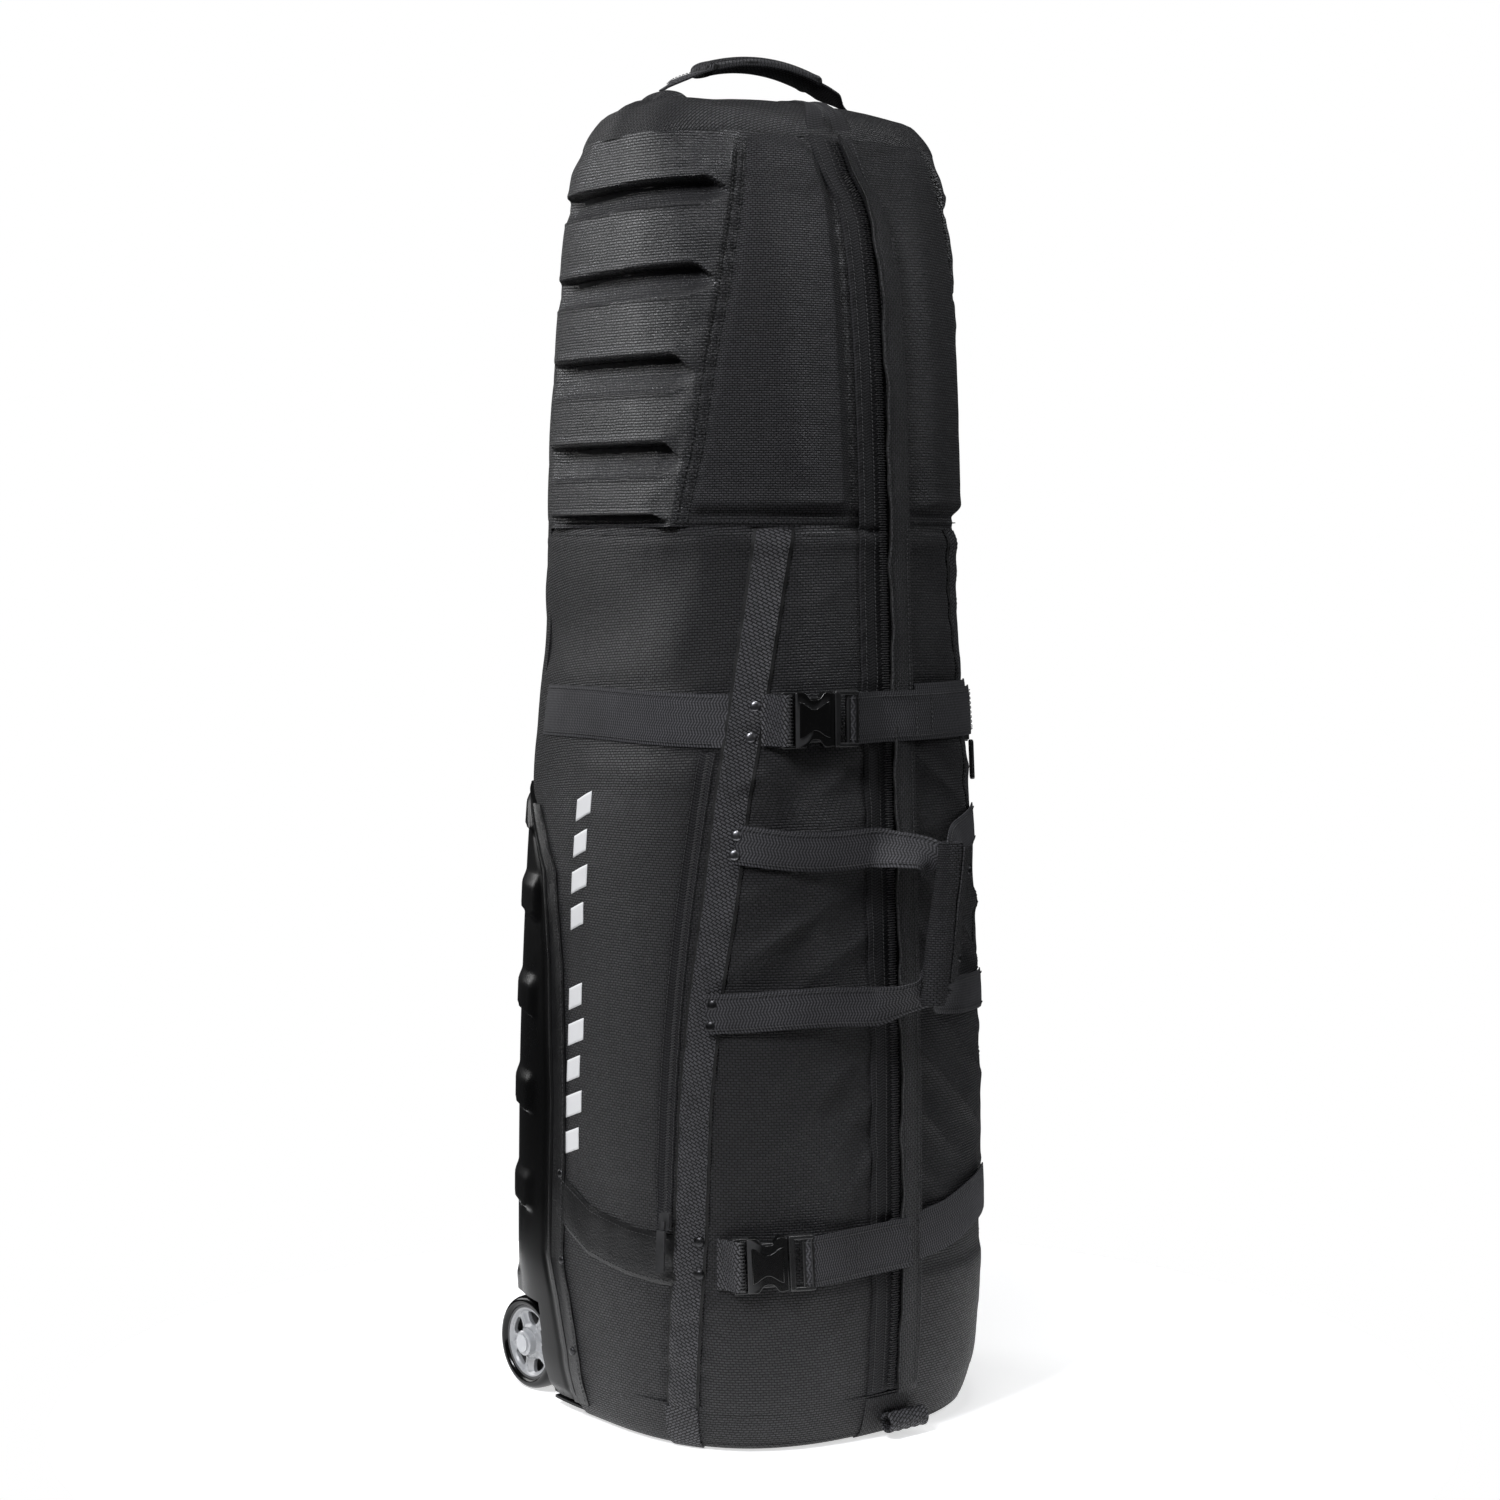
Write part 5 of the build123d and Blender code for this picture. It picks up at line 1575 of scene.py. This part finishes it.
# =====================================================================
# top handle
# =====================================================================
def top_handle():
    A = 118.0
    n = 90
    u = np.linspace(0, 1, n)
    th = pi * u
    x = -A * np.cos(th)
    z = 1291.6 + 34.0 * (1 - (x / A) ** 2) ** 0.94
    y = -6 + 0 * x
    C = np.stack([x, y, z], -1)
    T = np.gradient(C, axis=0)
    T /= np.linalg.norm(T, axis=1, keepdims=True)
    N = np.stack([-T[:, 2], 0 * x, T[:, 0]], -1)
    N[N[:, 2] < 0] *= -1
    sl = np.concatenate([[0], np.cumsum(np.linalg.norm(np.diff(C, axis=0), axis=1))])
    wf = (5.0 + 32.0 * sstep(6.0, 34.0, np.minimum(sl, sl[-1] - sl))) / 37.0      # each end narrows to its fold
    ob, P, NN = ribbon("top_handle_web", C, N, 37, 2.6, M_WEB, "top_handle", wave=0.7, seed=31, wfun=wf)
    runs = [(P[1] + NN[1] * 1.4, NN[1]), (P[-2] + NN[-2] * 1.4, NN[-2])]
    me = ob
    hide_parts("top_handle_webbing")
    ob = stitches("top_handle_stitch", [(a[12:-12], b[12:-12]) for a, b in runs], body="top_handle")
    # padded grip, a moulded rubber sleeve on the bag, here in the pad cloth, with raised ends
    n, m = 70, 40
    uu = np.linspace(0.285, 0.715, n)
    th = pi * uu
    cx = -A * np.cos(th)
    cz = 1291.6 + 34.0 * (1 - (cx / A) ** 2) ** 0.94
    P = np.zeros((n, m, 3))
    a = np.linspace(0, 2 * pi, m)
    for i in range(n):
        f = i / (n - 1)
        e = max(abs(2 * f - 1) - 0.88, 0) / 0.12
        end = math.sqrt(max(1 - e * e, 0.02))
        ring = 1 + 0.05 * math.exp(-((abs(2 * f - 1) - 0.9) / 0.05) ** 2)
        ca, sa = np.cos(a), np.sin(a)
        sq = lambda v: np.sign(v) * np.abs(v) ** 0.75
        P[i, :, 0] = cx[i] + (0 if e == 0 else 0)
        P[i, :, 1] = -6 + 18.5 * ring * end * sq(ca)
        P[i, :, 2] = cz[i] + 1.6 + 7.4 * ring * end * sq(sa) * (1 + 0.0 * ca)
    V = P.reshape(-1, 3)
    F = []
    for i in range(n - 1):
        for j in range(m - 1):
            F.append((i * m + j, (i + 1) * m + j, (i + 1) * m + j + 1, i * m + j + 1))
    k0 = len(V)
    V = np.concatenate([V, [P[0].mean(0)], [P[-1].mean(0)]])
    for j in range(m - 1):
        F.append((j, j + 1, k0))
        F.append(((n - 1) * m + j + 1, (n - 1) * m + j, k0 + 1))
    V[:, 2] = np.minimum(V[:, 2], 1340)
    ob = make("top_handle_sleeve", V, F, M_PAD, uvs=np.stack([V[:, 0], V[:, 1]], -1), body="top_handle", sharp=60)
    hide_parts("top_handle_grip")
    # gathered cloth patches that hold the handle's ends
    for s in (-1, 1):
        n = 56
        gx = np.linspace(-1, 1, n)[None] * np.ones((n, 1))
        gy = np.linspace(-1, 1, n)[:, None] * np.ones((1, n))
        # square to rounded square
        X = gx * 24 * np.sqrt(1 - 0.3 * gy ** 2)
        Y = gy * 26 * np.sqrt(1 - 0.3 * gx ** 2)
        r = np.sqrt(gx ** 2 + gy ** 2)
        hz = 2.2 + 8.5 * np.exp(-((X / 12) ** 2)) * (1 - np.clip(np.abs(Y) / 27, 0, 1) ** 4)
        an = np.arctan2(gy, gx)
        hz += 1.5 * np.sin(an * 4 + s) * np.exp(-((r - 0.75) / 0.3) ** 2) + 1.2 * fbm(np.stack([X, Y, 0 * X], -1), 13, 191 + s, 2)
        hz = hz * (1 - sstep(0.85, 1.35, r)) + 0.4 * sstep(0.85, 1.35, r)
        # follow the dome
        xx = s * 114 + X
        yy = -6 + Y
        zz = dome_z(xx, yy)
        P = np.stack([xx, yy, zz], -1)
        N = np.zeros_like(P)
        N[..., 2] = 1
        N[..., 0] = 0.25 * s
        N /= np.linalg.norm(N, axis=-1, keepdims=True)
        ob = slab("handle_patch_%d" % (1 if s > 0 else 0), P, N, hz, -1.5, [M_FAB], uv=np.stack([X, Y], -1), body="bag")
        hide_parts("top_handle_anchors")


def dome_z(x, y):
    """Height of the top at x, y."""
    lo = np.full(x.shape, 1230.0)
    hi = np.full(x.shape, 1285.0)
    ph = np.degrees(np.arctan2(x, -y))
    r = np.hypot(x, y)
    for _ in range(30):
        mid = (lo + hi) / 2
        p = surf(ph, mid)
        inside = np.hypot(p[..., 0], p[..., 1]) > r
        lo = np.where(inside, mid, lo)
        hi = np.where(inside, hi, mid)
    return (lo + hi) / 2


top_handle()


def top_zip_strip():
    n = 110
    y = np.linspace(-139, 80, n)[:, None]
    t = np.linspace(-1, 1, 13)[None]
    X = t * (15 + 11.5 * (1 - sstep(-139, -96, y))) - 19 * (1 - sstep(-150, -84, y))
    Y = y * np.ones_like(t)
    Zd = dome_z(X, Y)
    P = np.stack([X, Y, Zd], -1)
    N = np.cross(np.gradient(P, axis=1), np.gradient(P, axis=0))
    N /= np.linalg.norm(N, axis=-1, keepdims=True) + 1e-9
    N[N[..., 2] < 0] *= -1
    out = 2.0 + 1.0 * gauss(np.abs(t) - 0.72, 0.2) + 0.3 * np.sin(Y / 3.4) * (np.abs(t) > 0.8) + 3.0 * gauss(t - 0.45, 0.13) * (1 - sstep(-120, -50, Y))
    out = -0.9 + (out + 0.9) * sstep(-140, -122, Y)
    ob = slab("top_zip_tape", P, N, out, -1.2, [M_TAPE], uv=strip_uv(P, 0), body="bag", flip=True)
    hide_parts("top_zip")
    V, F = coil_zip(P[:, 6] + N[:, 6] * 1.2, N[:, 6], 5.4, pitch=1.7)
    ob = make("top_zip_coil", V, F, M_COIL, body="bag")


top_zip_strip()


# =====================================================================
# loop at the zip's foot, print, wheels
# =====================================================================
def base_loop():
    n, m = 40, 44
    a = np.linspace(0, 2 * pi, m, endpoint=False)
    seg = []
    for k in range(n):
        x = -5 + 46 * k / (n - 1)
        r = 9.6 + 0.4 * math.sin(k * 0.7)
        seg.append(np.stack([np.full(m, x), -212 + r * 0.95 * np.cos(a), 16.5 + r * np.sin(a)], -1))
    inn = []
    for k in range(n):
        x = -5 + 46 * k / (n - 1)
        inn.append(np.stack([np.full(m, x), -212 + 6.8 * 0.95 * np.cos(a), 16.5 + 6.8 * np.sin(a)], -1))
    A, B = np.stack(seg), np.stack(inn)
    A = np.concatenate([A, A[:, :1]], 1)
    B = np.concatenate([B, B[:, :1]], 1)
    V = np.concatenate([A.reshape(-1, 3), B.reshape(-1, 3)])
    r, c = A.shape[:2]
    i = np.arange(r * c).reshape(r, c)
    nn = r * c
    F = []
    for p in range(r - 1):
        for q in range(c - 1):
            F.append((i[p, q], i[p, q + 1], i[p + 1, q + 1], i[p + 1, q]))
            F.append((i[p + 1, q] + nn, i[p + 1, q + 1] + nn, i[p, q + 1] + nn, i[p, q] + nn))
    for q in range(c - 1):
        F.append((i[0, q + 1], i[0, q], i[0, q] + nn, i[0, q + 1] + nn))
        F.append((i[-1, q], i[-1, q + 1], i[-1, q + 1] + nn, i[-1, q] + nn))
    UV = np.stack([V[:, 0], np.arctan2(V[:, 2] - 16.5, V[:, 1] + 212) * 8], -1)
    ob = make("base_loop_web", V, F, M_WEB2, uvs=UV[:, ::-1], body="bag", sharp=60)
    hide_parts("base_loop")


base_loop()


def marks():
    """Plain slanted bars down the rear edge of the side, two groups."""
    parts = []
    for z0, z1, k in ((478, 619, 4), (259, 435, 5)):
        for j in range(k):
            step = (z1 - z0) / k
            za, zb = z0 + step * (j + 0.14), z0 + step * (j + 0.74)
            r, c = 9, 13
            ph = np.linspace(-99.6, -91.4 if j % 2 else -92.6, c)[None] * np.ones((r, 1))
            zz = np.linspace(za, zb, r)[:, None] + (ph + 99.6) * 1.25
            P, N = on_wall(ph, zz, -1)
            V = np.concatenate([(P + N * 0.55).reshape(-1, 3), (P - N * 0.5).reshape(-1, 3)])
            n = r * c
            i = np.arange(n).reshape(r, c)
            F = []
            for p in range(r - 1):
                for q in range(c - 1):
                    F.append((i[p, q], i[p, q + 1], i[p + 1, q + 1], i[p + 1, q]))
                    F.append((i[p + 1, q] + n, i[p + 1, q + 1] + n, i[p, q + 1] + n, i[p, q] + n))
            for q in range(c - 1):
                F.append((i[0, q + 1], i[0, q], i[0, q] + n, i[0, q + 1] + n))
                F.append((i[-1, q], i[-1, q + 1], i[-1, q + 1] + n, i[-1, q] + n))
            for p in range(r - 1):
                F.append((i[p, 0], i[p + 1, 0], i[p + 1, 0] + n, i[p, 0] + n))
                F.append((i[p + 1, -1], i[p, -1], i[p, -1] + n, i[p + 1, -1] + n))
            parts.append((V, F))
    V, F = merge(parts)
    ob = make("side_bars_print", V, F, M_MARK, body="bag")


marks()

def wells():
    """Wheel wells moulded into the shell: three walls and a roof each."""
    for s in (-1, 1):
        zt = np.linspace(14, 106, 12)
        rows = []
        for z in zt:
            a, b = surf(-113.0, z, -3.0), surf(-147.8, z, -3.0)
            c1, c2 = np.array([-134.0, a[1], z]), np.array([-134.0, b[1] - 6, z])
            pts = [a, c1, c2, b]
            row = []
            for k in range(3):
                for f in np.linspace(0, 1, 9)[:-1]:
                    row.append(pts[k] + (pts[k + 1] - pts[k]) * f)
            row.append(b)
            rows.append(row)
        P = np.array(rows)
        T = np.gradient(P, axis=1)
        N = np.stack([T[..., 1], -T[..., 0], 0 * T[..., 0]], -1)
        N /= np.linalg.norm(N, axis=-1, keepdims=True) + 1e-9
        ob = slab(SIDE[s] + "_wheel_well", mir(P, s), mir(N, s), 1.3, -1.3, [M_SHELL], body="bag", flip=(s < 0), sharp=35)
        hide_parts("wheel_housings")
        z = 106.0
        arc = [surf(p, z, -2.0) for p in np.linspace(-112.6, -148.2, 20)]
        ins = [np.array([-133.0, arc[-1][1] - 6, z]), np.array([-133.0, arc[0][1], z])]
        poly = arc + ins
        n = len(poly)
        V = np.array([mir(p + np.array([0, 0, 1.3]), s) for p in poly] + [mir(p - np.array([0, 0, 1.3]), s) for p in poly])
        F = [tuple(range(n)), tuple(range(2 * n - 1, n - 1, -1))] + [((k + 1) % n, k, k + n, (k + 1) % n + n) for k in range(n)]
        if s > 0:
            F = [f[::-1] for f in F]
        ob = make(SIDE[s] + "_wheel_well_roof", V, F, M_SHELL, smooth=False, body="bag")


wells()


def floor_plate():
    """The shell's floor, cut round the two wheel wells."""
    ph = np.linspace(-180, 180, 181)[:-1]
    q = surf(ph, 24.0 + 0 * ph, -7.0)
    x, y = q[..., 0].copy(), q[..., 1].copy()
    cut = (y > 84) & (np.abs(x) > 133)
    x[cut] = 133 * np.sign(x[cut])
    n = len(x)
    V = [(x[k], y[k], 9.5) for k in range(n)] + [(x[k], y[k], 7.0) for k in range(n)]
    F = [tuple(range(n))[::-1], tuple(range(n, 2 * n))] + [(k, (k + 1) % n, (k + 1) % n + n, k + n) for k in range(n)]
    area = sum(x[k] * y[(k + 1) % n] - x[(k + 1) % n] * y[k] for k in range(n))
    if area > 0:
        F = [f[::-1] for f in F]
    ob = make("shell_floor", np.array(V, float), F, M_SHELL, smooth=False, body="bag")


floor_plate()


def wheels():
    """Dished silver hub with five windows and a flat cap, in a rounded tyre."""
    for s in (-1, 1):
        c = np.array([167.0 * s, 146.0, 47.4])
        th = np.linspace(0, 2 * pi, 181)
        # tyre, turned profile (radius, x across)
        prof = []
        for a in np.linspace(-0.5 * pi, 1.5 * pi, 41):
            ca, sa = math.cos(a), math.sin(a)
            rr = 41.6 + 5.8 * np.sign(sa) * abs(sa) ** 0.8
            xx = 12.9 * np.sign(ca) * abs(ca) ** 0.75
            prof.append((rr, xx))
        A = np.array([[c + np.array([xx, rr * math.cos(t), rr * math.sin(t)]) for t in th[:-1]] for rr, xx in prof])
        V = A.reshape(-1, 3)
        n, m = A.shape[:2]
        F = [(i * m + j, i * m + (j + 1) % m, (i + 1) * m + (j + 1) % m, (i + 1) * m + j) for i in range(n - 1) for j in range(m)]
        ob = make(SIDE[s] + "_tyre", V, F, M_TYRE, body=SIDE[s] + "_wheel")
        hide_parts(SIDE[s] + "_wheel_tyre")
        # hub dish
        rad = np.linspace(6.5, 37.0, 46)
        R, T = rad[:, None] * np.ones((1, 181)), th[None] * np.ones((46, 1))
        dish = 8.6 - 3.4 * sstep(14, 19, R) + 3.6 * sstep(29.5, 34.5, R)
        ang = ((T / (2 * pi) * 5 + 0.15) % 1.0) - 0.5
        rib = 1.6 * gauss(ang * R * 2 * pi / 5 - 0.5 * R * 2 * pi / 5 * np.sign(ang), 3.2) * (R > 15) * (R < 31)
        dish = dish + rib
        hw = (0.5 - 7.2 * 5 / (2 * pi * R) / 1.0)
        inside = (np.abs(ang) < hw * 1.0) & (R > 18.0) & (R < 30.5)
        inside &= ((np.abs(ang) / np.maximum(hw, 0.05)) ** 4 + (np.abs(R - 24.3) / 6.3) ** 4) < 1
        cell = inside[:-1, :-1]
        P1 = np.stack([s * dish, R * np.cos(T), R * np.sin(T)], -1) + c
        P2 = np.stack([s * (dish - 4.0), R * np.cos(T), R * np.sin(T)], -1) + c
        ob = masked(SIDE[s] + "_hub_dish", P1, P2, ~cell, [M_HUB], np.stack([R, T * 20], -1), SIDE[s] + "_wheel", flip=(s < 0), sharp=32)
        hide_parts(SIDE[s] + "_wheel_hub")
        # barrel behind the dish, and the plain inner face
        prof = [(37.2, 9.5), (37.2, -12.0), (34.5, -12.0), (34.5, -8.0), (11, -9.5), (11, -12.2), (5.2, -12.2), (5.2, -6.0), (34.0, -5.0), (35.0, 9.0), (37.2, 9.5)]
        A = np.array([[c + np.array([s * xx, rr * math.cos(t), rr * math.sin(t)]) for t in th[:-1]] for rr, xx in prof])
        V = A.reshape(-1, 3)
        n, m = A.shape[:2]
        F = [(i * m + j, i * m + (j + 1) % m, (i + 1) * m + (j + 1) % m, (i + 1) * m + j) for i in range(n - 1) for j in range(m)]
        ob = make(SIDE[s] + "_hub_barrel", V, F, M_HUB_D, body=SIDE[s] + "_wheel", sharp=30)
        prof = [(0.2, 16.4), (11.2, 16.2), (12.6, 15.2), (13.0, 8.0), (0.2, 8.0)]
        A = np.array([[c + np.array([s * xx, rr * math.cos(t), rr * math.sin(t)]) for t in th[:-1]] for rr, xx in prof])
        V = A.reshape(-1, 3)
        n, m = A.shape[:2]
        F = [(i * m + j, i * m + (j + 1) % m, (i + 1) * m + (j + 1) % m, (i + 1) * m + j) for i in range(n - 1) for j in range(m)]
        ob = make(SIDE[s] + "_hub_cap", V, F, M_HUB, body=SIDE[s] + "_wheel", sharp=30)


wheels()


def prism(f, outline, z0, z1, name, mat, body, bevel=1.6):
    """Extrude a closed local outline between two local heights; edges rounded."""
    n = len(outline)
    V = [f(x, y, z1) for x, y in outline] + [f(x, y, z0) for x, y in outline]
    F = [tuple(range(n)), tuple(range(2 * n - 1, n - 1, -1))] + [((k + 1) % n, k, k + n, (k + 1) % n + n) for k in range(n)]
    ob = make(name, V, F, mat, smooth=True, body=body, sharp=35)
    bm = ob.modifiers.new("round", "BEVEL")
    bm.width = bevel * MM
    bm.segments = 3
    bm.limit_method = "ANGLE"
    bm.angle_limit = math.radians(40)
    return ob


def rrect(x0, x1, y0, y1, r, seg=6):
    out = []
    for cx, cy, a0 in ((x1 - r, y1 - r, 0), (x0 + r, y1 - r, 90), (x0 + r, y0 + r, 180), (x1 - r, y0 + r, 270)):
        for k in range(seg + 1):
            a = math.radians(a0 + 90 * k / seg)
            out.append((cx + r * math.cos(a), cy + r * math.sin(a)))
    return out


def buckles():
    for tag, z, xa, xb, rise in (("upper", 694, -126, -38, 1), ("lower", 186, -168, -88, 4)):
        f, n, half, xd, yd = buckle_frame(z, xa, xb, 9.0, rise)
        fx0, fx1 = -half + 27, -half + 66
        # body with waisted sides where the release arms are pressed
        xs = np.linspace(0, 39, 40)
        hwid = 26.0 - 7.2 * np.exp(-((xs - 20) / 7.5) ** 4) - 1.0 * sstep(30, 39, xs)
        out = [(fx0 + x, w) for x, w in zip(xs, hwid)] + [(fx0 + x, -w) for x, w in zip(xs[::-1], hwid[::-1])]
        pcs = [prism(f, out, -5.6, 5.4, tag + "_buckle_body", M_BUCKLE, "left_flap", 2.2)]
        # raised centre with a crescent at each end of the window
        xs = np.linspace(0, 30, 30)
        h2 = 13.5 + 3.5 * np.cos(xs / 30 * 2 * pi)
        out = [(fx0 + 4.5 + x, w) for x, w in zip(xs, h2)] + [(fx0 + 4.5 + x, -w) for x, w in zip(xs[::-1], h2[::-1])]
        pcs.append(prism(f, out, 4.6, 6.4, tag + "_buckle_panel", M_BUCKLE, "left_flap", 0.8))
        pcs.append(prism(f, rrect(fx0 + 12.5, fx0 + 27.5, 14.8, 21.0, 3.0), -2.2, 4.6, tag + "_buckle_crescent_a", M_BUCKLE, "left_flap", 1.2))
        pcs.append(prism(f, rrect(fx0 + 12.5, fx0 + 27.5, -21.0, -14.8, 3.0), -2.2, 4.6, tag + "_buckle_crescent_b", M_BUCKLE, "left_flap", 1.2))
        # ladder end
        for k, (a, b, c, d, z0, z1) in enumerate(((fx0 - 12.6, fx0 + 1.5, 23.4, 26.3, -4.2, 3.8), (fx0 - 12.6, fx0 + 1.5, -26.3, -23.4, -4.2, 3.8),
                                                 (fx0 - 12.8, fx0 - 9.8, -26.0, 26.0, -4.0, 1.2), (fx0 - 5.2, fx0 - 1.6, -24.5, 24.5, -4.0, 4.2))):
            pcs.append(prism(f, rrect(a, b, c, d, 1.2, 3), z0, z1, "%s_ladder_%d" % (tag, k), M_BUCKLE, "left_flap", 0.9))
        V, F = [], []
        parts = []
        for i in range(15):
            y = -22.4 + 3.2 * i
            q = [f(fx0 - 9.2, y, 4.6), f(fx0 - 5.4, y, 5.2), f(fx0 - 1.8, y, 4.4)]
            parts.append(tube(q, [0.7, 1.0, 0.7], 6))
        V, F = merge(parts)
        pcs.append(make(tag + "_ladder_teeth", V, F, M_BUCKLE, body="left_flap"))
        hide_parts(tag + "_buckle_female")
        # male half: frame with two slots
        mx = fx1 + 0.8
        for k, (a, b, c, d, z0, z1) in enumerate(((mx, mx + 5.8, -25.5, 25.5, -5.2, 5.2), (mx + 12.6, mx + 16.4, -24.5, 24.5, -4.4, 3.8), (mx + 20.6, mx + 23.6, -25.0, 25.0, -4.6, 4.6),
                                                 (mx, mx + 23.6, 22.2, 26.4, -5.0, 5.0), (mx, mx + 23.6, -26.4, -22.2, -5.0, 5.0))):
            prism(f, rrect(a, b, c, d, 1.6, 4), z0, z1, "%s_male_%d" % (tag, k), M_BUCKLE, "right_flap", 1.3)
        for k, sg in enumerate((-1, 1)):
            prism(f, rrect(mx - 6.5, mx + 2.0, sg * 16 - 3, sg * 16 + 3, 1.4, 3), -1.8, 1.8, "%s_prong_%d" % (tag, k), M_BUCKLE, "right_flap", 0.6)
        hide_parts(tag + "_buckle_male")


buckles()


def feet():
    """The trims and the zip tape carry on down the rounded foot."""
    zs = np.array([43.5, 38, 30, 22, 15, 9, 5, 2.6, 1.2])
    ins = np.array([-0.5, -0.3, 0.1, 0.2, -0.1, -1.3, -3.3, -6.2, -9.4])
    def foot(name, pa, pb, thick, mat, uvdir=0):
        t = np.linspace(0, 1, 13)[None]
        z = zs[:, None] * np.ones_like(t)
        ph = pa + (pb - pa) * t * np.ones_like(z)
        P, N = surf(ph, z), normals(ph, z)
        N[..., 2] = 0
        N /= np.linalg.norm(N, axis=-1, keepdims=True)
        q = P + N * ins[:, None, None]
        T = np.gradient(q, axis=0)
        N2 = np.cross(np.gradient(q, axis=1), T)
        N2 /= np.linalg.norm(N2, axis=-1, keepdims=True) + 1e-9
        if (N2 * N).sum() < 0:
            N2 = -N2
        o = 0.9 * fbm(P, 60, 111, 2) * sstep(0, 20, z)
        ob = slab(name, q, N2, o + thick, o - 0.8, [mat], uv=strip_uv(q, 0), body="bag")
    foot("left_trim_foot", -61.2, -52.2, 1.9, M_WEB2)
    foot("right_trim_foot", 52.2, 61.2, 1.9, M_WEB2)
    foot("zip_tape_foot", -7.6, 7.6, 1.4, M_FAB)


feet()

#--END--
def finish():
    for k, v in (("wheel_housings", M_SHELL), ("rear_panel", M_LINING), ("base_pad", M_LINING), ("hood_padding", M_LINING), ("inner_straps", M_WEB), ("pocket_slider_left", M_BUCKLE), ("pocket_slider_right", M_BUCKLE), ("pocket_pull_left", M_BUCKLE), ("pocket_pull_right", M_BUCKLE), ("main_slider", M_BUCKLE), ("main_pull", M_BUCKLE),
                 ("upper_buckle_female", M_BUCKLE), ("upper_buckle_male", M_BUCKLE), ("lower_buckle_female", M_BUCKLE), ("lower_buckle_male", M_BUCKLE),
                 ("left_wheel_bearing", M_STEEL), ("right_wheel_bearing", M_STEEL), ("wheel_axles", M_HUB),
                 ("left_wheel_tyre", M_TYRE), ("right_wheel_tyre", M_TYRE), ("left_wheel_hub", M_HUB), ("right_wheel_hub", M_HUB)):
        o = frame["nodes"][k]
        for sl in o.material_slots:
            sl.material = v
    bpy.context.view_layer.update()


finish()
